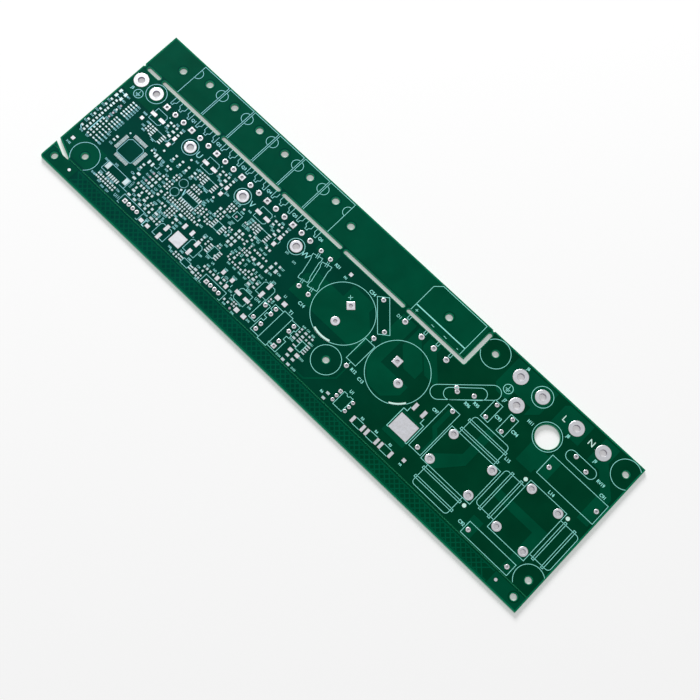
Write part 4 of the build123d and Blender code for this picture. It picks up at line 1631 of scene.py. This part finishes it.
@dataclass
class SupplyLegend:
    """Outlines of the capacitors, resistors, transformer and isolator of the supply."""

    plan: Frame
    bulk_radius: float = 14.75
    heavy_radius: float = 14.35
    plus_place: Point = (147.2, 51.2)
    plus_arm: float = 1.1
    snubber_starts: tuple[Point, ...] = ((122.5, 57.7), (128.3, 57.7))
    snubber_run: Point = (4.6, -18.9)
    snubber_leads: tuple[Point, ...] = ((1.5, 4.2), (15.6, 17.8))
    snubber_lead_half: float = 0.45
    snubber_side: tuple[Point, ...] = (
        (2.9, 2.5), (4.6, 2.5), (5.4, 2.1), (13.4, 2.1), (14.2, 2.5), (16.2, 2.5))
    tab_middle: float = 204.8

    def build(self) -> bpy.types.Object:
        """Prints the outlines."""
        pen = Pen()
        self.bulk(pen)
        pen.line([(159.7, 63.5), (171.9, 50.8), (167.5, 47.4), (155.3, 60.1)], closed=True)
        self.snubbers(pen)
        pen.box(165.2, 29.9, 170.8, 42.3)
        pen.line([(168.0, 42.3), (168.0, 43.6)])
        pen.line([(168.0, 29.9), (168.0, 28.6)])
        pen.box(121.2, 13.0, 125.0, 23.0)
        self.transformer(pen)
        self.isolator(pen)
        for x in (189.55, 197.85, 206.15):
            for y in (13.7, 10.3):
                pen.line([(x - 2.1, y), (x + 2.1, y)], 0.25)
        self.tab(pen)
        pen.labels((
            Label("C13", 176.8, 26.7), Label("C54", 152.8, 59.7, 1.6), Label("R21", 133.0, 57.7),
            Label("C14", 134.0, 33.3, 1.6), Label("T1", 133.5, 27.3, 1.6),
            Label("R12", 171.7, 27.6), Label("U1", 178.0, 20.2, 1.4), Label("R3", 189.5, 15.0, 1.1),
            Label("R4", 197.8, 15.0, 1.1), Label("R5", 206.1, 15.0, 1.1),
            Label("R6", 168.2, 11.3, 1.1), Label("L1", 126.5, 30.9, 1.1),
            Label("M1", 139.2, 56.2, 1.1), Label("M2", 215.0, 11.8, 0.9)))
        return pen.finish("supply_legend")

    def bulk(self, pen: Pen) -> None:
        """Prints the two large capacitors, each with a heavy arc and a plus sign."""
        leads = self.plan.lands("bulk_capacitor_lands")
        arcs = ((251, 289, 1.2), (297, 328, 1.0))
        for pair, (start, end, width) in zip((leads[:2], leads[2:]), arcs):
            middle = tuple(sum(axis) / 2 for axis in zip(*((pin.x, pin.y) for pin in pair)))
            pen.ring(middle, self.bulk_radius)
            pen.arc(middle, self.heavy_radius, start, end, width)
        (x, y), arm = self.plus_place, self.plus_arm
        for turn in (math.radians(45), math.radians(135)):
            dx, dy = arm * math.cos(turn), arm * math.sin(turn)
            pen.line([(x - dx, y - dy), (x + dx, y + dy)], 0.25)

    def snubbers(self, pen: Pen) -> None:
        """Prints the two long resistors, which cross the capacitor's edge at a slant."""
        along = Vector(self.snubber_run).normalized()
        across = Vector((-along.y, along.x))
        other_side = [(t, -half) for t, half in reversed(self.snubber_side)]
        for start in map(Vector, self.snubber_starts):
            for shift in (-self.snubber_lead_half, self.snubber_lead_half):
                for lead in self.snubber_leads:
                    ends = [start + along * t + across * shift for t in lead]
                    pen.line([tuple(end) for end in ends], 0.22)
            body = [start + along * t + across * half
                    for t, half in (*self.snubber_side, *other_side)]
            pen.line([tuple(point) for point in body], closed=True)

    def transformer(self, pen: Pen) -> None:
        """Prints the transformer's core between the stepped flanges of its bobbin."""
        pen.box(131.0, 8.7, 136.1, 26.0)
        for edge, way in ((131.0, -1), (136.1, 1)):
            out = edge + way * 5.1
            mid = edge + way * 3.6
            pen.line([(edge, 25.2), (out, 25.2), (out, 22.3), (mid + way * 0.6, 22.3),
                      (mid + way * 0.6, 19.9), (out, 19.9), (out, 18.2), (mid, 18.2),
                      (mid, 16.2), (out, 16.2), (out, 9.5), (edge, 9.5)])

    def isolator(self, pen: Pen) -> None:
        """Prints the isolator's body with its end notch."""
        pen.line([(177.3, 18.3), (175.5, 18.3), (175.5, 10.8), (180.6, 10.8), (180.6, 18.3),
                  (178.8, 18.3)])
        pen.arc((178.05, 18.3), 0.75, 180, 360, 0.25)

    def tab(self, pen: Pen) -> None:
        """Prints the outline about the large tab transistor."""
        side = ((5.0, 20.4), (5.9, 20.4), (5.9, 31.3), (3.9, 31.3), (3.9, 33.8))
        for way in (-1, 1):
            pen.line([(self.tab_middle + way * x, y) for x, y in side], 0.28)


@dataclass
class FilterLegend:
    """Outlines of the mains filter: chokes, capacitors, surge parts and damper."""

    def build(self) -> bpy.types.Object:
        """Prints the outlines."""
        pen = Pen()
        pen.stadium([(265.6, 67.3), (276.7, 67.3)], 2.6)
        pen.box(259.5, 51.1, 291.8, 61.8)
        pen.box(253.3, 8.9, 280.0, 15.1)
        for x in (227.25, 236.6):
            pen.box(x - 2.2, 52.4, x + 2.2, 62.4)
        pen.stadium([(204.5, 47.0), (222.4, 64.2)], 3.4)
        pen.stadium([(208.8, 50.2), (218.9, 59.7)], 2.8)
        pen.box(211.7, 20.8, 218.5, 46.4)
        self.choke(pen, Vector((233.8, 30.3)), False)
        self.choke(pen, Vector((270.55, 32.7)), True)
        for spot in ((258.2, 45.5), (282.7, 45.5), (246.9, 18.3)):
            pen.dot(spot, 0.95)
        pen.labels((
            Label("RV19", 282.8, 67.0), Label("C91", 287.2, 63.3), Label("L14", 270.4, 48.5, 1.6),
            Label("L15", 246.9, 46.1), Label("C92", 251.0, 12.0), Label("C93", 231.5, 57.0, 1.6),
            Label("C94", 241.2, 57.0, 1.6), Label("R95", 220.6, 54.6), Label("R96", 217.7, 51.8),
            Label("C97", 209.6, 40.0, 1.4)))
        return pen.finish("filter_legend")

    @staticmethod
    def choke(pen: Pen, middle: Vector, upright: bool) -> None:
        """Prints a choke: its base and a winding with double bands at each end.

        Args:
            pen: The pen.
            middle: The base's middle.
            upright: Whether the windings lie left and right of the base.
        """
        base_long, base_short = (14.1, 10.45) if upright else (14.4, 10.0)
        reach, wind = (21.2, 10.05) if upright else (20.5, 10.15)
        curve, band_half, overhang = 1.6, 0.55, 0.9

        def put(along: float, across: float) -> Point:
            """A point counted along the windings and across them."""
            pair = (along, across) if upright else (across, along)
            return (middle.x + pair[0], middle.y + pair[1])

        def frame_of(near: float, far: float, half: float) -> Outline:
            """The corners of a box between two distances along the windings."""
            return [put(near, -half), put(far, -half), put(far, half), put(near, half)]

        pen.line(frame_of(-base_short, base_short, base_long), closed=True)
        for way in (-1, 1):
            outline = [put(way * base_short, -wind)]
            for start, shift in ((-90, -2 * (wind - curve)), (0, 0.0)):
                corner = circle_points((reach - curve, wind - curve), curve, start, start + 90, 5)
                outline += [put(way * x, y + shift) for x, y in corner]
            outline.append(put(way * base_short, wind))
            pen.line(outline)
            for band in (reach - 3.2, reach - 8.4):
                ends = way * (band - band_half), way * (band + band_half)
                pen.line(frame_of(*ends, wind + overhang), closed=True)


@dataclass
class ChipLegend:
    """Outlines and numbers of the surface-mounted parts."""

    plan: Frame
    chips: ChipField
    heavy: float = 0.02
    squeeze: float = 0.82

    def build(self) -> bpy.types.Object:
        """Prints the outlines and numbers."""
        pen = Pen(0.22)
        for left, low, right, high in (
                (59.6, 31.2, 67.8, 34.5), (80.0, 31.0, 83.0, 35.0), (87.3, 20.4, 90.7, 25.3),
                (81.7, 9.2, 86.0, 12.0), (146.2, 17.0, 149.0, 21.5), (82.5, 41.0, 86.0, 44.2)):
            pen.box(left, low, right, high)
        self.controller(pen)
        pen.line([(23.9, 15.6), (23.9, 20.4), (38.35, 20.4), (38.35, 15.6)])
        pen.line([(23.9, 15.6), (27.2, 15.6)])
        pen.line([(35.6, 15.5), (40.8, 15.5)])
        pen.line([(6.0, 24.2), (6.0, 33.5)], 0.5)
        pen.line([(1.8, 23.5), (3.3, 22.3)], 0.4)
        pen.line([(58.4, 35.2), (59.5, 32.0)], 0.5)
        pen.line([(40.3, 32.8), (42.2, 32.8), (42.2, 34.6)])
        for spot in ((55.7, 36.6), (55.7, 30.9)):
            pen.ring(spot, 2.1)
            for start in (-40, 140):
                pen.arc(spot, 2.1, start, start + 80, 0.4)
        for link in self.chips.links:
            pen.line(link, 0.3)
        self.diodes(pen)
        self.headers(pen)
        self.electrolytics(pen)
        self.phases(pen)
        self.numbers(pen)
        return pen.finish("chip_legend")

    @staticmethod
    def controller(pen: Pen) -> None:
        """Prints the controller's outline inside its rows of pads, and the mark at its first."""
        left, low, right, high = 22.5, 26.0, 31.8, 35.2
        pen.line([(left, low + 0.6), (left, high - 1.4), (left + 1.4, high), (right - 1.0, high),
                  (right, high - 1.0), (right, low + 0.6), (right - 0.6, low), (left + 0.6, low)],
                 closed=True)
        pen.dot((20.8, 36.6), 0.45)
        for y in (33.4, 36.4):
            pen.line([(36.4, y), (37.4, y)])

    @staticmethod
    def diodes(pen: Pen) -> None:
        """Prints the bars and curves that show which way the diodes lie."""
        for x in (97.6, 100.2, 103.3, 106.0):
            pen.line([(x, 16.7), (x, 18.1)], 0.3)
        pen.line([(58.0, 12.2), (56.8, 12.2), (56.8, 9.3), (58.0, 9.3)], 0.4)

    @staticmethod
    def headers(pen: Pen) -> None:
        """Prints the header outlines, open below."""
        for left, low, right, high in ((40.8, 9.4, 53.6, 14.3), (94.1, 8.8, 106.9, 13.5)):
            pen.line([(left + 1.2, low), (left, low), (left, high), (right, high), (right, low),
                      (right - 1.2, low)])

    @staticmethod
    def electrolytics(pen: Pen) -> None:
        """Prints the chamfered bases of the small round capacitors."""
        for left, low, right, high in ((62.6, 10.2, 69.3, 16.8), (77.7, 14.6, 84.5, 21.1),
                                       (115.0, 23.5, 121.6, 30.0)):
            cut, gap, middle = 0.9, 1.1, (left + right) / 2
            for way in (-1, 1):
                edge, near = left if way < 0 else right, middle + way * gap
                pen.line([(near, high), (edge - way * cut, high), (edge, high - cut),
                          (edge, low), (near, low)])
            pen.text("+", (left - 0.2, high + 0.3), 1.2)
        left, low, right, high = 109.8, 14.1, 116.4, 20.5
        middle = (low + high) / 2
        for way, edge in ((-1, low), (1, high)):
            pen.line([(left, middle + way), (left, edge - way * 0.9), (left + 0.9, edge),
                      (right, edge), (right, middle + way)])
        pen.text("+", (left - 0.7, low + 0.2), 1.2)

    def phases(self, pen: Pen) -> None:
        """Prints what repeats with each phase."""
        for x, y in self.chips.phases():
            left, right, low, high = x - 24.2, x - 17.6, y - 3.2, y + 3.2
            pen.line([(left, y + 1.0), (left, high), (right - 0.9, high), (right, high - 0.9),
                      (right, y + 1.0)])
            pen.line([(left, y - 1.4), (left, low), (right - 0.9, low), (right, low + 0.9),
                      (right, y - 1.4)])
            pen.text("+", (right + 0.6, high + 0.2), 1.3)
            pen.line([(x - 16.9, y - 4.8), (x - 12.6, y - 4.8)])
            pen.line([(x - 16.9, y - 9.4), (x - 12.6, y - 9.4)])
            for way in (-1, 1):
                pen.line([(x - 8.0 + way * 1.3, y - 3.3), (x - 8.0 + way * 1.3, y - 5.2)])

    def numbers(self, pen: Pen) -> None:
        """Prints a letter and a number beside each small part."""
        marks = list(self.chips.marks)
        for x, y in self.chips.phases():
            marks += [Mark("R", x + dx, y + dy) for dx, dy in PHASE_MARKS]
        for letter, length, height, turn, places in (
                ("D", 3, 0.95, 0, SMALL_MARKS), ("R", 4, 1.0, 0, WIDE_MARKS),
                ("L", 3, 0.95, 90, UPRIGHT_MARKS), ("U", 3, 1.5, 0, BIG_MARKS)):
            marks += [Mark(letter, x, y, length, height, turn) for x, y in places]
        for spot in ((41.5, 36.4), (57.3, 20.2), (92.6, 19.0), (99.6, 40.4), (117.4, 31.0),
                     (35.0, 45.4)):
            marks.append(Mark("U", *spot, 2, 1.1))
        last: dict[tuple[str, int], int] = {}
        for mark in marks:
            kind = (mark.letter, mark.length)
            last[kind] = last.get(kind, 10 ** (mark.length - 2)) + 1
            pen.text(f"{mark.letter}{last[kind]}", (mark.x, mark.y), mark.height, mark.turn,
                     self.heavy, self.squeeze)


# ---- studio -------------------------------------------------------------------------------------


@dataclass
class Studio:
    """A pale floor, soft lamps and the camera."""

    eye: Vector = Vector((0.110576, -0.149868, 0.571276))
    right: Vector = Vector((0.71731507, 0.69463422, 0.05424386))
    up: Vector = Vector((-0.67889983, 0.67930876, 0.27862992))
    lens: float = 69.3
    sensor: float = 36.0
    floor_size: float = 6.0
    sky_light: float = 0.45
    lamp_power: float = 62.0
    lamp_place: Vector = Vector((-1.6, 1.35, 1.2))

    def build(self) -> None:
        """Sets up everything."""
        self.floor()
        self.sky()
        self.lamps()
        self.camera()

    def floor(self) -> None:
        """Lays the floor just under the lands of the panel's underside."""
        drop = MM * (Level.BACK_LAMINATE.value - Level.BACK.value)
        form = bmesh.new()
        bmesh.ops.create_grid(form, x_segments=1, y_segments=1, size=self.floor_size / 2)
        form.transform(Matrix.Translation((0, 0, PANEL_LOW.z - drop)))
        mesh = bpy.data.meshes.new("floor")
        form.to_mesh(mesh)
        form.free()
        mesh.materials.append(FloorFinish().material())
        plane = bpy.data.objects.new("floor", mesh)
        bpy.context.collection.objects.link(plane)

    def sky(self) -> None:
        """Surrounds the scene with even white light."""
        world = bpy.data.worlds.new("studio")
        world.use_nodes = True
        tree = world.node_tree
        back = tree.nodes["Background"]
        back.inputs["Color"].default_value = (1.0, 1.0, 1.0, 1.0)
        path = tree.nodes.new("ShaderNodeLightPath")
        pick = tree.nodes.new("ShaderNodeMapRange")
        tree.links.new(path.outputs["Is Camera Ray"], pick.inputs["Value"])
        pick.inputs["To Min"].default_value = self.sky_light
        pick.inputs["To Max"].default_value = 1.0
        tree.links.new(pick.outputs["Result"], back.inputs["Strength"])
        bpy.context.scene.world = world

    def lamps(self) -> None:
        """Hangs a soft lamp above the left-hand end."""
        lamp = bpy.data.lights.new("soft_lamp", "AREA")
        lamp.shape = "RECTANGLE"
        lamp.size, lamp.size_y = 0.9, 0.9
        lamp.energy = self.lamp_power
        holder = bpy.data.objects.new("soft_lamp", lamp)
        holder.location = self.lamp_place
        holder.rotation_euler = (-self.lamp_place).to_track_quat("-Z", "Y").to_euler()
        bpy.context.collection.objects.link(holder)

    def camera(self) -> None:
        """Stands the camera above the lower right of the panel."""
        lens = bpy.data.cameras.new("camera")
        lens.lens = self.lens
        lens.sensor_width = self.sensor
        lens.clip_start, lens.clip_end = 0.01, 20
        eye = bpy.data.objects.new("camera", lens)
        back = self.right.cross(self.up)
        axes = Matrix((self.right, self.up, back)).transposed().to_4x4()
        eye.matrix_world = Matrix.Translation(self.eye) @ axes
        bpy.context.collection.objects.link(eye)
        bpy.context.scene.camera = eye


def main() -> None:
    """Builds the board piece by piece, then the studio."""
    logging.basicConfig(level=logging.INFO, format="%(name)s: %(message)s")
    plan = Frame()
    log.info("%d holes, %d slots", len(plan.holes), len(plan.slots))
    LaminatePanel(plan).build()
    MaskMargins(plan).build()
    CopperPours(plan).build()
    RailLattice().build()
    ThroughLands(plan).build()
    FlatPads(plan).build()
    chips = ChipField(plan)
    chips.build()
    Tracks(chips).build()
    for legend in (DeviceLegend(plan), TerminalLegend(plan), SupplyLegend(plan), FilterLegend(),
                   ChipLegend(plan, chips)):
        legend.build()
    Studio().build()
    bpy.context.scene.view_settings.view_transform = "Standard"


if __name__ == "__main__":
    main()
